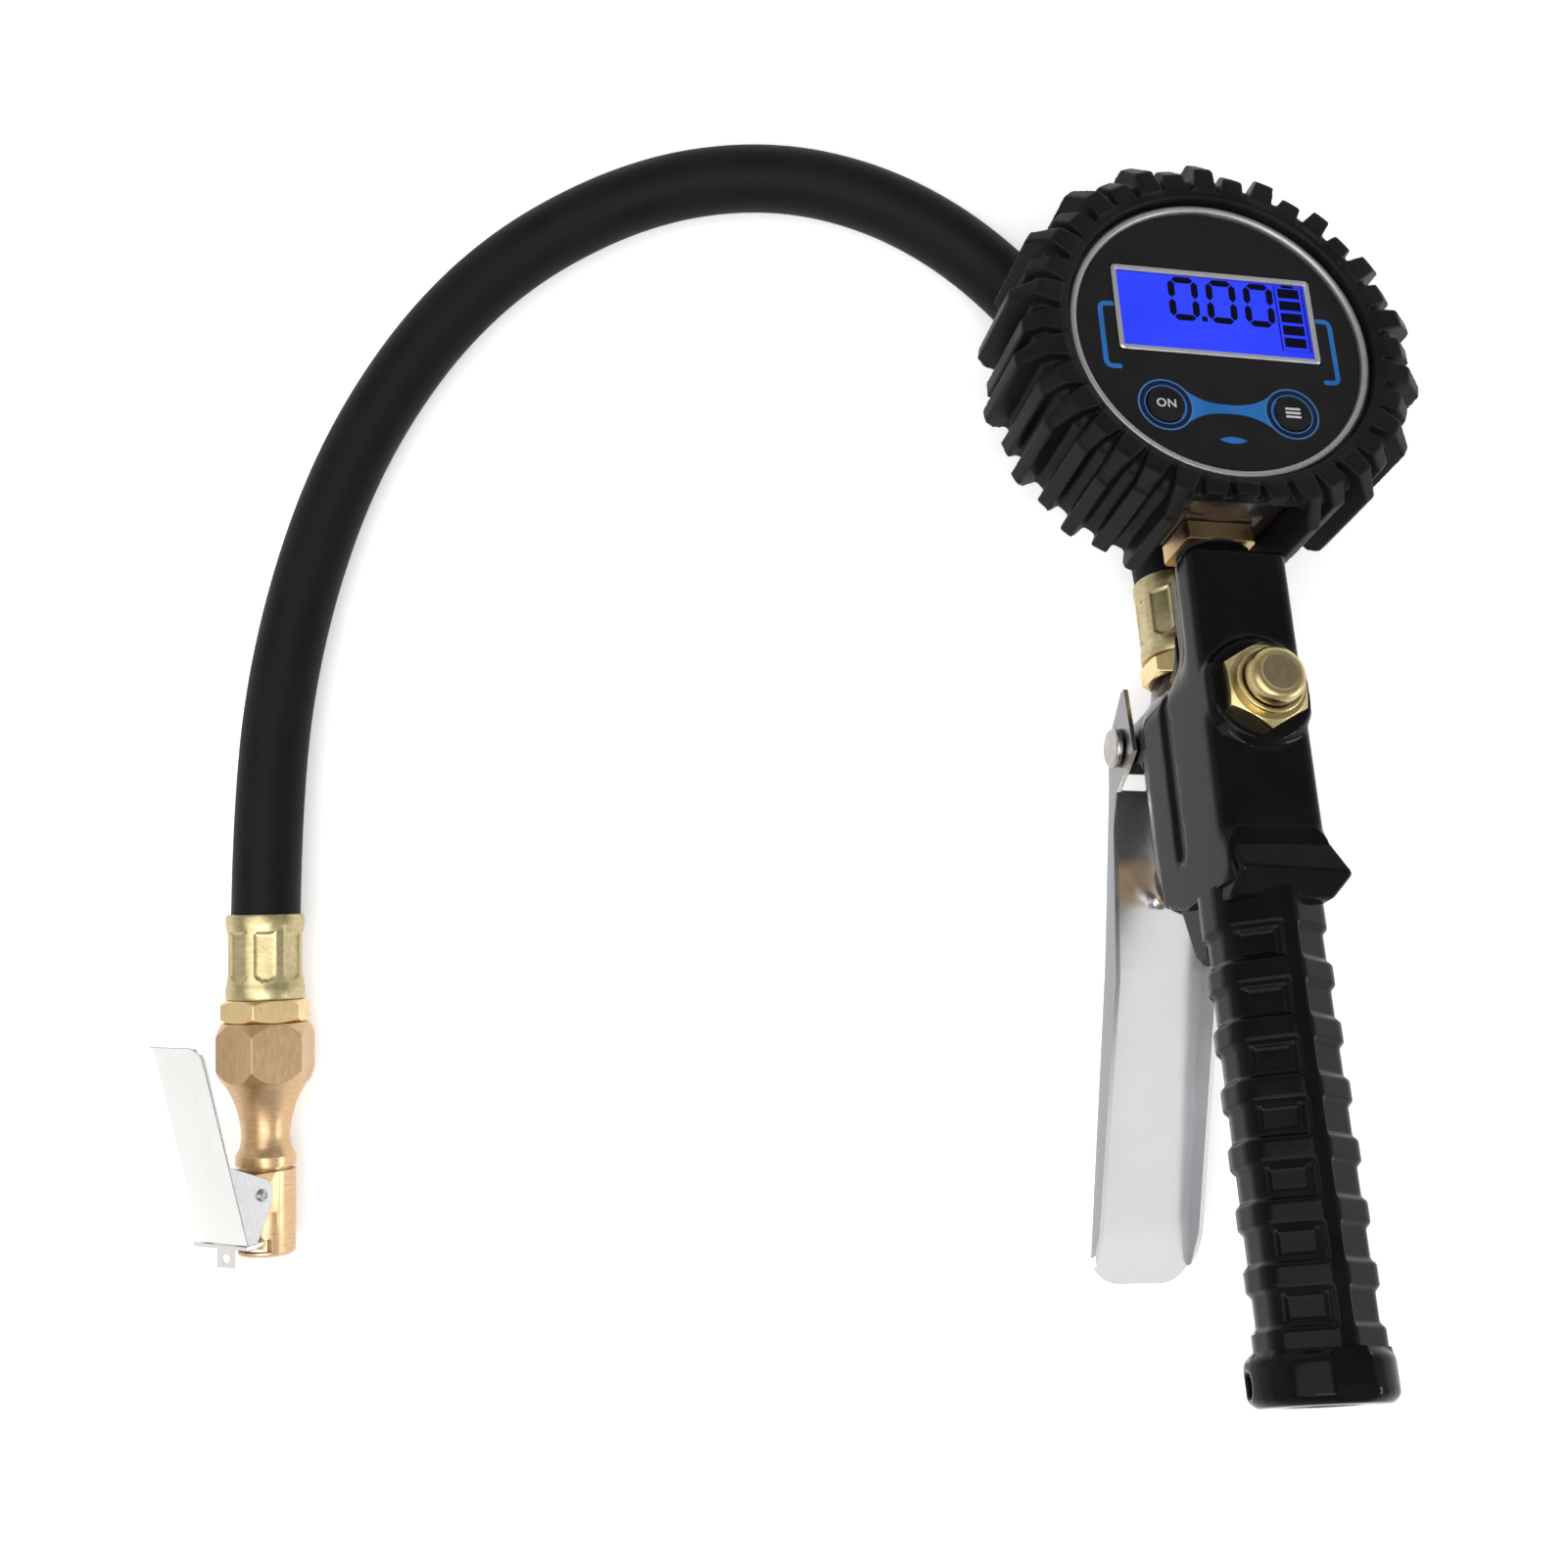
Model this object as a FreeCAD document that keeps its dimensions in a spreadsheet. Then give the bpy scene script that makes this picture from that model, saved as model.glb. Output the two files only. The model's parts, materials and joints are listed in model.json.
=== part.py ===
import FreeCAD, Part
import math
import os

import Sketcher
from FreeCAD import Placement, Rotation, Vector

# Tyre inflator with a digital gauge: a die-cast gun, a short hose and a clip-on air chuck.
# The gun is drawn upright in its own frame: +Z up the handle towards the gauge, the gauge's
# face towards -Y, the trigger lever towards +Y, and the inlet's end face at z = 0. It is then
# laid on its back, as it rests with the hose on a table. All sizes are in millimetres.

SIZES = [
    # Die-cast gun body
    ("body_half_width", 9.8, "half the width of the flat-sided body"),
    ("body_front", 11.8, "front face ahead of the tube's axis, at the top"),
    ("body_waist_front", 11.0, "front face ahead of the axis, above the finger guard"),
    ("body_top", 148.5, "height of the body's top face"),
    ("tube_back", 8.0, "rear of the upper tube behind its axis"),
    ("tube_back_round", 6.6, "rounding of the upper tube's rear corners"),
    ("body_edge_round", 2.6, "rounding of the body's long front edges"),
    ("neck_radius", 7.6, "neck below the gauge's stem"),
    ("neck_height", 4.1, "height of that neck"),
    ("guard_height", 88.2, "height of the finger guard's crest"),
    ("guard_reach", 14.9, "crest of the finger guard ahead of the axis"),
    ("guard_rise", 6.8, "slope of the guard above its crest"),
    ("guard_fall", 4.4, "slope of the guard below its crest"),
    ("guard_round", 1.6, "rounding of the guard's crest and root"),
    ("web_top", 129.5, "top of the web between tube and valve housing"),
    ("web_foot", 4.4, "where the web's lower edge leaves the handle"),
    ("web_groove_width", 3.4, "oblong groove in the web's side"),
    ("web_groove_depth", 0.9, "depth of that groove"),
    ("web_groove_low", 94.0, "lower end of that groove"),
    ("web_groove_high", 127.0, "upper end of that groove"),
    ("web_groove_back", 7.4, "groove's centre line behind the tube's axis"),
    ("housing_back", 18.0, "axis of the hose and valve housing behind the tube's axis"),
    ("housing_radius", 9.6, "radius of that housing"),
    ("housing_top", 134.5, "top face of that housing"),
    ("housing_bottom", 88.4, "lowest point of its rounded foot"),
    # Handle grip
    ("grip_radius", 10.2, "back of the grip over a rib"),
    ("grip_corner", 6.0, "front corners of the grip ahead of its axis"),
    ("grip_ridge", 11.4, "ridge down the front of the grip"),
    ("grip_ridge_half", 1.1, "half the ridge's width"),
    ("rib_depth", 0.85, "ribs stand this much above the grip"),
    ("rib_width", 4.2, "width of a rib"),
    ("rib_pitch", 10.0, "distance from rib to rib"),
    ("rib_count", 8, "number of ribs"),
    ("rib_first", 9.8, "height of the lowest rib's middle"),
    ("collar_radius", 12.1, "collar round the inlet"),
    ("collar_height", 8.4, "height of that collar"),
    ("collar_bevel", 1.3, "bevel of the collar's edges"),
    # Ports and passages
    ("inlet_radius", 5.55, "tapped inlet port, quarter inch pipe thread"),
    ("inlet_depth", 14.0, "depth of the inlet port"),
    ("passage_radius", 3.2, "air passage up the handle"),
    ("hanger_radius", 2.0, "hole in the collar's side"),
    ("hanger_depth", 4.0, "depth of that hole"),
    ("hanger_height", 3.6, "height of that hole"),
    ("hanger_back", 2.6, "that hole behind the axis"),
    ("port_radius", 5.0, "tapped ports for the stem and the hose fitting"),
    ("port_depth", 11.5, "depth of those ports"),
    ("small_passage", 1.5, "drilled links between the passages"),
    ("hose_passage", 3.0, "passage below the hose port"),
    ("thread_clearance", 0.1, "thread shank to port wall"),
    ("seat_clearance", 0.2, "radial gap where a piece seats"),
    ("press_clearance", 0.03, "radial gap of pieces pressed together"),
    ("running_clearance", 0.06, "radial play of pins and stems that move"),
    ("moving_gap", 0.35, "gap between pieces that move past each other"),
    # Gauge
    ("gauge_height", 190.5, "centre of the gauge's face above the inlet"),
    ("face_forward", 16.6, "front of the bezel ring ahead of the tube's axis"),
    ("ring_radius", 30.1, "outside of the silver bezel ring"),
    ("ring_width", 1.4, "width of the ring's face"),
    ("ring_height", 2.4, "height of the ring"),
    ("panel_thickness", 1.4, "printed face panel"),
    ("case_radius", 33.3, "outside of the gauge case"),
    ("case_wall", 1.8, "wall of the gauge case"),
    ("case_depth", 22.5, "back of the case behind the ring's front"),
    ("case_front", 1.4, "front rim of the case behind the ring's front"),
    ("lcd_width", 40.6, "outside width of the display's silver frame"),
    ("lcd_height", 18.8, "outside height of the display's silver frame"),
    ("lcd_border", 1.1, "width of that frame's bars"),
    ("lcd_raise", 0.45, "frame above the panel"),
    ("lcd_centre", 5.8, "middle of the display above the face's centre"),
    ("button_radius", 3.7, "round press buttons"),
    ("button_side", 12.6, "buttons beside the centre line"),
    ("button_low", 15.1, "buttons below the face's centre"),
    ("board_radius", 26.0, "circuit board"),
    ("board_thickness", 1.6, "circuit board"),
    ("board_depth", 5.4, "front of the circuit board behind the ring's front"),
    ("post_radius", 2.6, "screw posts in the case"),
    ("post_circle", 21.5, "radius of the circle of posts"),
    ("cell_radius", 10.0, "coin cell"),
    ("cell_thickness", 3.2, "coin cell"),
    ("cap_radius", 13.0, "battery cap in the case's back"),
    ("cap_rise", 3.0, "battery cap above the face's centre"),
    # Rubber boot
    ("boot_wall_radius", 36.6, "outside of the boot between its lugs"),
    ("boot_lip_radius", 30.6, "inner edge of the boot's front lip"),
    ("boot_lip_front", 1.6, "front lip ahead of the ring's front"),
    ("boot_lip_outer", 32.2, "outer edge of the front lip"),
    ("boot_notch_front", 0.1, "front of the rubber between two lugs"),
    ("boot_shoulder", 35.2, "outer edge of that flat rubber"),
    ("boot_back", 24.0, "back of the boot behind the ring's front"),
    ("boot_lip_back_radius", 29.8, "inner edge of the boot's rear lip"),
    ("tall_lug_radius", 41.3, "tip of the tall lugs"),
    ("low_lug_radius", 39.0, "tip of the low lugs"),
    ("tall_lug_crown", 2.4, "front of the tall lugs ahead of the ring's front"),
    ("low_lug_crown", 1.9, "front of the low lugs ahead of the ring's front"),
    ("tall_lug_edge", 36.8, "outer edge of a tall lug's flat crown"),
    ("low_lug_edge", 35.8, "outer edge of a low lug's flat crown"),
    ("lug_root_half", 2.45, "half the width of a lug at the lip"),
    ("tall_tip_half", 1.35, "half the width of a tall lug at its tip"),
    ("low_tip_half", 1.65, "half the width of a low lug at its tip"),
    ("lug_pairs", 18, "number of tall and of low lugs round the boot"),
    ("lug_back_bevel", 2.2, "bevel of the lugs' rear ends"),
    ("boot_gap_half", 12.0, "half the width of the opening for the stem"),
    ("boot_gap_lip", 34.9, "flat edge of the lip over that opening"),
    # Brass stem under the gauge
    ("stem_width", 14.0, "wrench flats of the stem block"),
    ("stem_depth", 11.6, "front to back of the stem block"),
    ("stem_washer_height", 0.8, "seal ring under the block"),
    ("stem_end", 166.0, "upper end of the stem inside the case"),
    ("stem_shank_radius", 3.9, "stem shank inside the case"),
    ("sensor_radius", 3.6, "pressure sensor on the stem's end"),
    ("sensor_height", 6.0, "pressure sensor on the stem's end"),
    # Bleed valve
    ("bleed_height", 120.0, "axis of the bleed valve above the inlet"),
    ("bleed_boss_radius", 10.6, "round boss behind the bleed nut"),
    ("bleed_boss_front", 12.9, "front of that boss ahead of the axis"),
    ("bleed_bore_radius", 4.5, "bore for the bleed valve"),
    ("bleed_bore_end", 1.0, "that bore's end behind the axis"),
    ("bleed_nut_flats", 14.5, "across the flats of the bleed nut"),
    ("bleed_nut_height", 2.8, "hexagon of the bleed nut"),
    ("bleed_nut_shank", 5.8, "length of its threaded shank"),
    ("bleed_ring_radius", 6.3, "round collar on the nut"),
    ("bleed_ring_height", 1.3, "height of that collar"),
    ("bleed_cap_radius", 5.3, "press cap of the bleed valve"),
    ("bleed_cap_height", 4.8, "height of that cap"),
    ("bleed_cap_round", 1.5, "rounding of the cap's edge"),
    ("bleed_travel", 1.2, "travel of the bleed cap"),
    ("bleed_stem_radius", 1.8, "stem of the bleed cap"),
    ("bleed_seal_radius", 3.4, "rubber seal on that stem"),
    ("bleed_seal_height", 1.5, "rubber seal on that stem"),
    ("bleed_spring_radius", 2.4, "middle of the bleed spring's wire from its axis"),
    ("bleed_spring_wire", 0.5, "wire of the bleed spring"),
    # Main valve
    ("valve_height", 97.0, "axis of the main valve above the inlet"),
    ("valve_bore_radius", 4.0, "bore of the main valve"),
    ("valve_bore_end", 5.5, "end of that bore behind the tube's axis"),
    ("valve_seat_face", 28.6, "flat on the housing behind the tube's axis"),
    ("valve_seat_radius", 6.6, "round flat for the valve nut"),
    ("valve_nut_flats", 10.0, "across the flats of the valve nut"),
    ("valve_nut_height", 2.8, "hexagon of the valve nut"),
    ("valve_nut_shank", 8.6, "length of its threaded shank"),
    ("valve_stem_radius", 1.5, "push stem"),
    ("valve_head_radius", 2.9, "head of the push stem"),
    ("valve_head_height", 2.6, "head of the push stem"),
    ("valve_seal_height", 1.5, "rubber washer behind the head"),
    ("valve_spring_radius", 2.6, "middle of the valve spring's wire from its axis"),
    ("valve_spring_wire", 0.6, "wire of the valve spring"),
    # Trigger lever
    ("pivot_height", 124.5, "lever pin above the inlet"),
    ("pivot_back", 28.0, "lever pin behind the tube's axis"),
    ("pivot_lug_radius", 5.2, "lug on the casting that carries the pin"),
    ("pin_radius", 2.0, "lever pin"),
    ("pin_head_radius", 3.9, "riveted heads of the pin"),
    ("pin_head_height", 1.3, "riveted heads of the pin"),
    ("lever_half_width", 10.9, "half the outside width of the lever"),
    ("lever_sheet", 0.9, "thickness of the lever's sheet steel"),
    ("lever_top", 6.0, "top edge of the lever's web below the pin"),
    ("lever_start", 8.4, "web's back at its top, behind the pin"),
    ("lever_bend", 39.5, "bend of the web below the pin"),
    ("lever_bend_back", 20.2, "web's back at the bend, behind the pin"),
    ("lever_length", 98.0, "tip of the lever below the pin"),
    ("lever_tip_back", 45.5, "web's back at the tip, behind the pin"),
    ("lever_edge_round", 2.0, "folded edges of the lever"),
    ("ear_rise", 10.0, "tip of the lever's ears above the pin"),
    ("ear_reach", 7.2, "front of the lever's ears ahead of the pin"),
    ("flange_depth", 7.6, "depth of the lever's side flanges"),
    # Hose and its crimped ends
    ("hose_diameter", 13.5, "outside of the rubber hose"),
    ("hose_bore", 7.8, "bore of the hose"),
    ("fitting_flats", 14.0, "hexagon of the hose fitting at the gun"),
    ("fitting_height", 4.5, "height of that hexagon"),
    ("ferrule_length", 16.9, "crimped ferrules"),
    ("ferrule_radius", 7.65, "rims of the ferrules"),
    ("ferrule_flats", 14.3, "across the crimped flats"),
    ("ferrule_rim", 2.6, "length of each round rim"),
    ("ferrule_facets", 8, "crimped flats round a ferrule"),
    ("barb_clearance", 0.1, "barb to hose bore"),
    ("barb_bore", 2.2, "air bore of the hose fittings"),
    ("hose_bore_depth", 16.5, "depth to which the hose's bore is open for a fitting"),
    # Air chuck
    ("head_radius", 5.75, "round head at the chuck's mouth"),
    ("head_length", 16.5, "length of that head"),
    ("head_slit", 0.8, "turned groove above the head"),
    ("head_slit_radius", 4.6, "bottom of that groove"),
    ("rim_radius", 5.85, "rim above the groove"),
    ("rim_height", 1.9, "height of that rim"),
    ("waist_radius", 4.7, "narrowest part of the chuck's neck"),
    ("waist_height", 22.6, "narrowest part above the mouth"),
    ("chuck_hex_low", 33.6, "lower face of the chuck's hexagon"),
    ("chuck_hex_high", 45.3, "upper face of the chuck's hexagon"),
    ("chuck_hex_flats", 17.0, "across the flats of the chuck's hexagon"),
    ("nut_hex_flats", 15.5, "across the flats of the chuck's hose fitting"),
    ("nut_hex_height", 4.6, "height of that hexagon"),
    ("mouth_radius", 4.1, "mouth that goes over a tyre valve"),
    ("mouth_depth", 5.7, "depth of the mouth"),
    ("seal_seat_radius", 4.5, "groove behind the mouth that holds its rubber seal"),
    ("seal_seat_end", 9.0, "bottom of that groove above the mouth"),
    ("chuck_bore", 2.2, "air bore of the chuck"),
    ("seal_height", 2.9, "rubber seal in the mouth"),
    ("seal_bore", 1.9, "hole in that seal"),
    ("probe_radius", 1.0, "pin that opens the tyre valve"),
    ("jaw_slot_low", 0.9, "lower face of the slot for the jaw"),
    ("jaw_slot_high", 3.5, "upper face of the slot for the jaw"),
    ("clip_lug_reach", 10.0, "lug that carries the clip's pin"),
    ("clip_lug_half", 5.3, "half the width of that lug"),
    ("clip_lug_low", 8.8, "lower face of that lug"),
    ("clip_lug_slot", 1.7, "half the slot in it for the spring"),
    ("clip_pin_out", 7.4, "clip's pin from the chuck's axis"),
    ("clip_pin_up", 12.7, "clip's pin above the mouth"),
    ("clip_pin_radius", 1.0, "clip's pin"),
    ("clip_spring_radius", 1.75, "middle of the clip spring's wire from its axis"),
    ("clip_spring_wire", 0.5, "wire of the clip spring"),
    ("clip_half_width", 6.5, "half the outside width of the clip lever"),
    ("clip_sheet", 0.8, "thickness of the clip lever's sheet"),
    ("clip_low", 2.7, "lower end of the clip lever above the mouth"),
    ("clip_high", 40.8, "upper end of the clip lever above the mouth"),
    ("clip_round", 4.5, "corners of the clip lever's upper end"),
    ("clip_low_out", 11.0, "clip lever's back at its lower end, from the axis"),
    ("clip_high_out", 23.4, "clip lever's back at its upper end, from the axis"),
    ("jaw_sheet", 0.8, "thickness of the jaw"),
    ("jaw_half_width", 4.4, "half the width of the jaw"),
    ("jaw_reach", 4.3, "jaw's inner edge from the chuck's axis"),
    ("jaw_tab_half", 3.3, "half the width of the jaw's tab"),
    ("jaw_tab_length", 4.4, "length of the jaw's tab"),
    # How the tool lies on the table
    ("lie_yaw", 2.4, "turn of the gun on the table, degrees"),
    ("lie_dip", 16.8, "gauge end lower than the handle end, degrees"),
    ("lie_roll", 12.0, "roll of the gun on its back, degrees"),
    ("chuck_lift", 9.9, "axis of the chuck above the table"),
    ("chuck_roll", 30.0, "clip side of the chuck turned from straight up, degrees"),
]

HEX_CORNER = 1 / math.sqrt(3)
BEYOND = 60.0

# The hose's route on the table between its two straight ends, from the hose port: sideways,
# lengthways and height. The first and last two points lie on the axes of the two fittings.
ROUTE = [
    (-10.3, 57.6, 7.8),
    (-31.0, 85.0, 6.8),
    (-54.7, 101.8, 6.8),
    (-82.0, 108.5, 6.8),
    (-111.5, 103.4, 6.8),
    (-142.1, 85.0, 6.8),
    (-165.2, 53.4, 6.8),
    (-178.1, 15.4, 7.4),
]
HOSE_STRAIGHT = 27.5
CHUCK_STRAIGHT = 37.5
CHUCK_SPOT = (-180.3, -111.7)
CHUCK_LINE = Vector(-0.021, 1.0, 0)

os.makedirs("parts", exist_ok=True)
doc = FreeCAD.newDocument("tyre_inflator")
sheet = doc.addObject("Spreadsheet::Sheet", "sizes")
pieces = {}


class Size:
    """A size: its number, and the expression that ties it to the sheet."""

    def __init__(self, number, text):
        self.number = number
        self.text = text

    def __add__(self, other):
        other = as_size(other)
        return Size(self.number + other.number, f"({self.text} + {other.text})")

    def __sub__(self, other):
        other = as_size(other)
        return Size(self.number - other.number, f"({self.text} - {other.text})")

    def __mul__(self, other):
        other = as_size(other)
        return Size(self.number * other.number, f"({self.text} * {other.text})")

    def __truediv__(self, other):
        other = as_size(other)
        return Size(self.number / other.number, f"({self.text} / {other.text})")

    def __neg__(self):
        return Size(-self.number, f"(0 - {self.text})")

    def __radd__(self, other):
        return as_size(other) + self

    def __rsub__(self, other):
        return as_size(other) - self

    def __rmul__(self, other):
        return as_size(other) * self


def as_size(value):
    if isinstance(value, Size):
        return value
    return Size(float(value), f"({float(value):.9g})")


def number(value):
    return as_size(value).number


class Sizes:
    """The driving sizes by name."""


S = Sizes()
for row, (alias, amount, note) in enumerate(SIZES, start=1):
    sheet.set(f"A{row}", alias)
    sheet.set(f"B{row}", str(amount))
    sheet.set(f"C{row}", note)
    sheet.setAlias(f"B{row}", alias)
    setattr(S, alias, Size(float(amount), f"sizes.{alias}"))
doc.recompute()


def bind(thing, field, value):
    """Set a property and tie it to the sheet."""
    value = as_size(value)
    thing.setExpression(field, value.text)


def new_body(label, frame):
    body = doc.addObject("PartDesign::Body", label)
    body.Label = label
    pieces[label] = (body, frame)
    return body


def datum(body, role):
    for feature in body.Origin.OriginFeatures:
        if feature.Role == role:
            return feature
    raise ValueError(role)


def new_sketch(body, name, plane, offset):
    sketch = body.newObject("Sketcher::SketchObject", name)
    sketch.AttachmentSupport = [(datum(body, plane), "")]
    sketch.MapMode = "FlatFace"
    bind(sketch, "AttachmentOffset.Base.z", offset)
    return sketch


def pin_point(sketch, edge, end, x, y):
    """Hold one end of an edge at a place given from the sketch's origin."""
    for kind, axis, value in (("DistanceX", -2, as_size(x)), ("DistanceY", -1, as_size(y))):
        if value.text in ("(0)", "(-0)"):
            sketch.addConstraint(Sketcher.Constraint("PointOnObject", edge, end, axis))
            continue
        index = sketch.addConstraint(
            Sketcher.Constraint(kind, -1, 1, edge, end, value.number)
        )
        sketch.setExpression(f"Constraints[{index}]", value.text)


def arc_edge(start, stop, radius, turn):
    """A round stretch from start to stop; turn is +1 to the left and -1 to the right."""
    chord = stop - start
    left = Vector(-chord.y, chord.x, 0).normalize()
    height = math.sqrt(max(radius ** 2 - (chord.Length / 2) ** 2, 0.0))
    centre = (start + stop) * 0.5 + left * (height * turn)
    first, last = (start, stop) if turn > 0 else (stop, start)
    angles = [math.atan2(p.y - centre.y, p.x - centre.x) for p in (first, last)]
    if angles[1] < angles[0]:
        angles[1] += 2 * math.pi
    circle = Part.Circle(centre, Vector(0, 0, 1), radius)
    return Part.ArcOfCircle(circle, angles[0], angles[1])


def outline(body, name, plane, corners, offset=0.0):
    """A closed outline of straight and round stretches.

    A corner is (x, y), or (x, y, radius, turn) where the stretch that follows it is round.
    """
    sketch = new_sketch(body, name, plane, offset)
    spots = [Vector(number(c[0]), number(c[1]), 0) for c in corners]
    ends = []
    for index, corner in enumerate(corners):
        start = spots[index]
        stop = spots[(index + 1) % len(corners)]
        if len(corner) == 2:
            sketch.addGeometry(Part.LineSegment(start, stop), False)
            ends.append((1, 2))
        else:
            sketch.addGeometry(arc_edge(start, stop, number(corner[2]), corner[3]), False)
            ends.append((1, 2) if corner[3] > 0 else (2, 1))
    for index in range(len(corners)):
        after = (index + 1) % len(corners)
        sketch.addConstraint(
            Sketcher.Constraint("Coincident", index, ends[index][1], after, ends[after][0])
        )
    for index, corner in enumerate(corners):
        pin_point(sketch, index, ends[index][0], corner[0], corner[1])
        if len(corner) > 2:
            radius = as_size(corner[2])
            chord = spots[(index + 1) % len(corners)] - spots[index]
            if abs(chord.Length - radius.number * 2) < 1e-6:
                level = abs(chord.x) > abs(chord.y)
                kind, value = ("DistanceY", corner[1]) if level else ("DistanceX", corner[0])
                value = as_size(value)
                rule = sketch.addConstraint(
                    Sketcher.Constraint(kind, -1, 1, index, 3, value.number)
                )
                sketch.setExpression(f"Constraints[{rule}]", value.text)
                continue
            rule = sketch.addConstraint(Sketcher.Constraint("Radius", index, radius.number))
            sketch.setExpression(f"Constraints[{rule}]", radius.text)
    return sketch


def disc(body, name, plane, radius, x=0.0, y=0.0, offset=0.0):
    """A circle round a place given from the sketch's origin."""
    sketch = new_sketch(body, name, plane, offset)
    radius = as_size(radius)
    centre = Vector(number(x), number(y), 0)
    sketch.addGeometry(Part.Circle(centre, Vector(0, 0, 1), radius.number), False)
    rule = sketch.addConstraint(Sketcher.Constraint("Radius", 0, radius.number))
    sketch.setExpression(f"Constraints[{rule}]", radius.text)
    pin_point(sketch, 0, 3, x, y)
    return sketch


def rectangle(body, name, plane, low, high, offset=0.0):
    corners = [(low[0], low[1]), (high[0], low[1]), (high[0], high[1]), (low[0], high[1])]
    return outline(body, name, plane, corners, offset)


def hexagon(body, name, flats, offset=0.0, turned=False):
    """A hexagon on the XY plane, with a corner on Y, or on X where it is turned."""
    half = as_size(flats) / 2
    side = as_size(flats) * (HEX_CORNER / 2)
    tip = as_size(flats) * HEX_CORNER
    corners = [(half, -side), (half, side), (0, tip), (-half, side), (-half, -side), (0, -tip)]
    if turned:
        corners = [(-y, x) for x, y in corners]
    return outline(body, name, "XY_Plane", corners, offset)


def extrude(body, kind, sketch, length, middle=False, reverse=False):
    feature = body.newObject(f"PartDesign::{kind}", kind.lower())
    feature.Profile = sketch
    bind(feature, "Length", length)
    feature.Midplane = middle
    feature.Reversed = reverse
    sketch.Visibility = False
    body.Tip = feature
    return feature


def pad(body, sketch, length, middle=False, reverse=False):
    return extrude(body, "Pad", sketch, length, middle, reverse)


def pocket(body, sketch, length, middle=False, reverse=False):
    """A cut that has to take material away: its solid is compared with the one before it."""
    before = body.Tip
    feature = extrude(body, "Pocket", sketch, length, middle, reverse)
    doc.recompute()
    if not feature.Shape.Volume < before.Shape.Volume - 1e-6:
        raise RuntimeError(f"{body.Label}: {sketch.Label} cuts nothing")
    return feature


def revolve(body, sketch, cut=False):
    """Turn a sketch about its own vertical axis."""
    before = body.Tip
    feature = body.newObject("PartDesign::Groove" if cut else "PartDesign::Revolution", "turned")
    feature.Profile = sketch
    feature.ReferenceAxis = (sketch, ["V_Axis"])
    feature.Angle = 360
    body.Tip = feature
    if cut:
        doc.recompute()
        if not feature.Shape.Volume < before.Shape.Volume - 1e-6:
            raise RuntimeError(f"{body.Label}: {sketch.Label} cuts nothing")
    return feature


def polar(body, features, count):
    """Repeat features round the Z axis."""
    pattern = body.newObject("PartDesign::PolarPattern", "polar")
    pattern.Originals = features
    pattern.Axis = (datum(body, "Z_Axis"), [""])
    pattern.Angle = 360
    bind(pattern, "Occurrences", count)
    body.Tip = pattern
    return pattern


def linear(body, features, count, length):
    """Repeat features along the Z axis."""
    pattern = body.newObject("PartDesign::LinearPattern", "linear")
    pattern.Originals = features
    pattern.Direction = (datum(body, "Z_Axis"), [""])
    bind(pattern, "Length", length)
    bind(pattern, "Occurrences", count)
    body.Tip = pattern
    return pattern


def soften(body, radius, test, kind="Fillet"):
    """Round or bevel the edges of the body's tip that pass the test."""
    doc.recompute()
    base = body.Tip
    names = [
        f"Edge{index}" for index, edge in enumerate(base.Shape.Edges, start=1) if test(edge)
    ]
    if not names:
        raise RuntimeError(f"{body.Label}: no edge to {kind.lower()}")
    feature = body.newObject(f"PartDesign::{kind}", kind.lower())
    feature.Base = (base, names)
    bind(feature, "Radius" if kind == "Fillet" else "Size", radius)
    body.Tip = feature
    return feature


def spans(edge, low, high, slack=0.01):
    """True for an edge whose box lies between two corners; None leaves a direction free."""
    box = edge.BoundBox
    lows = (box.XMin, box.YMin, box.ZMin)
    highs = (box.XMax, box.YMax, box.ZMax)
    for index in range(3):
        if low[index] is not None and lows[index] < number(low[index]) - slack:
            return False
        if high[index] is not None and highs[index] > number(high[index]) + slack:
            return False
    return True


def turned_piece(label, frame, corners):
    """A piece turned about the Z axis of its frame; corners are (radius, height)."""
    body = new_body(label, frame)
    revolve(body, outline(body, "profile", "XZ_Plane", corners))
    return body


def bevel_hexagon(body, flats, low, high, bite):
    """Turn the six corners of a hexagon back at its two ends, as on a machined nut."""
    apothem = as_size(flats) / 2
    corner = as_size(flats) * HEX_CORNER + 0.5
    drop = as_size(bite)
    if high is not None:
        points = [(apothem, high), (corner, high), (corner, high - drop)]
        revolve(body, outline(body, "bevel_high", "XZ_Plane", points), cut=True)
    if low is not None:
        points = [(apothem, low), (corner, low + drop), (corner, low)]
        revolve(body, outline(body, "bevel_low", "XZ_Plane", points), cut=True)


def spring(label, frame, radius, wire, low, high):
    """A wound spring's space on the Z axis of its frame: a thin sleeve as wide as its wire."""
    inner = radius - wire / 2
    outer = radius + wire / 2
    return turned_piece(label, frame, [(inner, low), (outer, low), (outer, high), (inner, high)])


def gun_frames():
    """Frames of the gun's pieces, in the upright gun."""
    forward = Rotation(Vector(1, 0, 0), 90)
    rearward = Rotation(Vector(1, 0, 0), -90)
    pivot = Vector(0, number(S.pivot_back), number(S.pivot_height))
    port = Vector(0, number(S.housing_back), number(S.housing_top))
    face = Placement(Vector(0, -number(S.face_forward), number(S.gauge_height)), forward)
    side = number(S.button_side)
    low = -number(S.button_low)
    return {
        "gun": Placement(),
        "face": face,
        "on_press": face * Placement(Vector(-side, low, 0), Rotation()),
        "function_press": face * Placement(Vector(side, low, 0), Rotation()),
        "bleed": Placement(Vector(0, 0, number(S.bleed_height)), forward),
        "valve": Placement(Vector(0, 0, number(S.valve_height)), rearward),
        "lever": Placement(pivot, Rotation()),
        "pin": Placement(pivot, Rotation(Vector(0, 1, 0), 90)),
        "port": Placement(port, Rotation()),
    }


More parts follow.
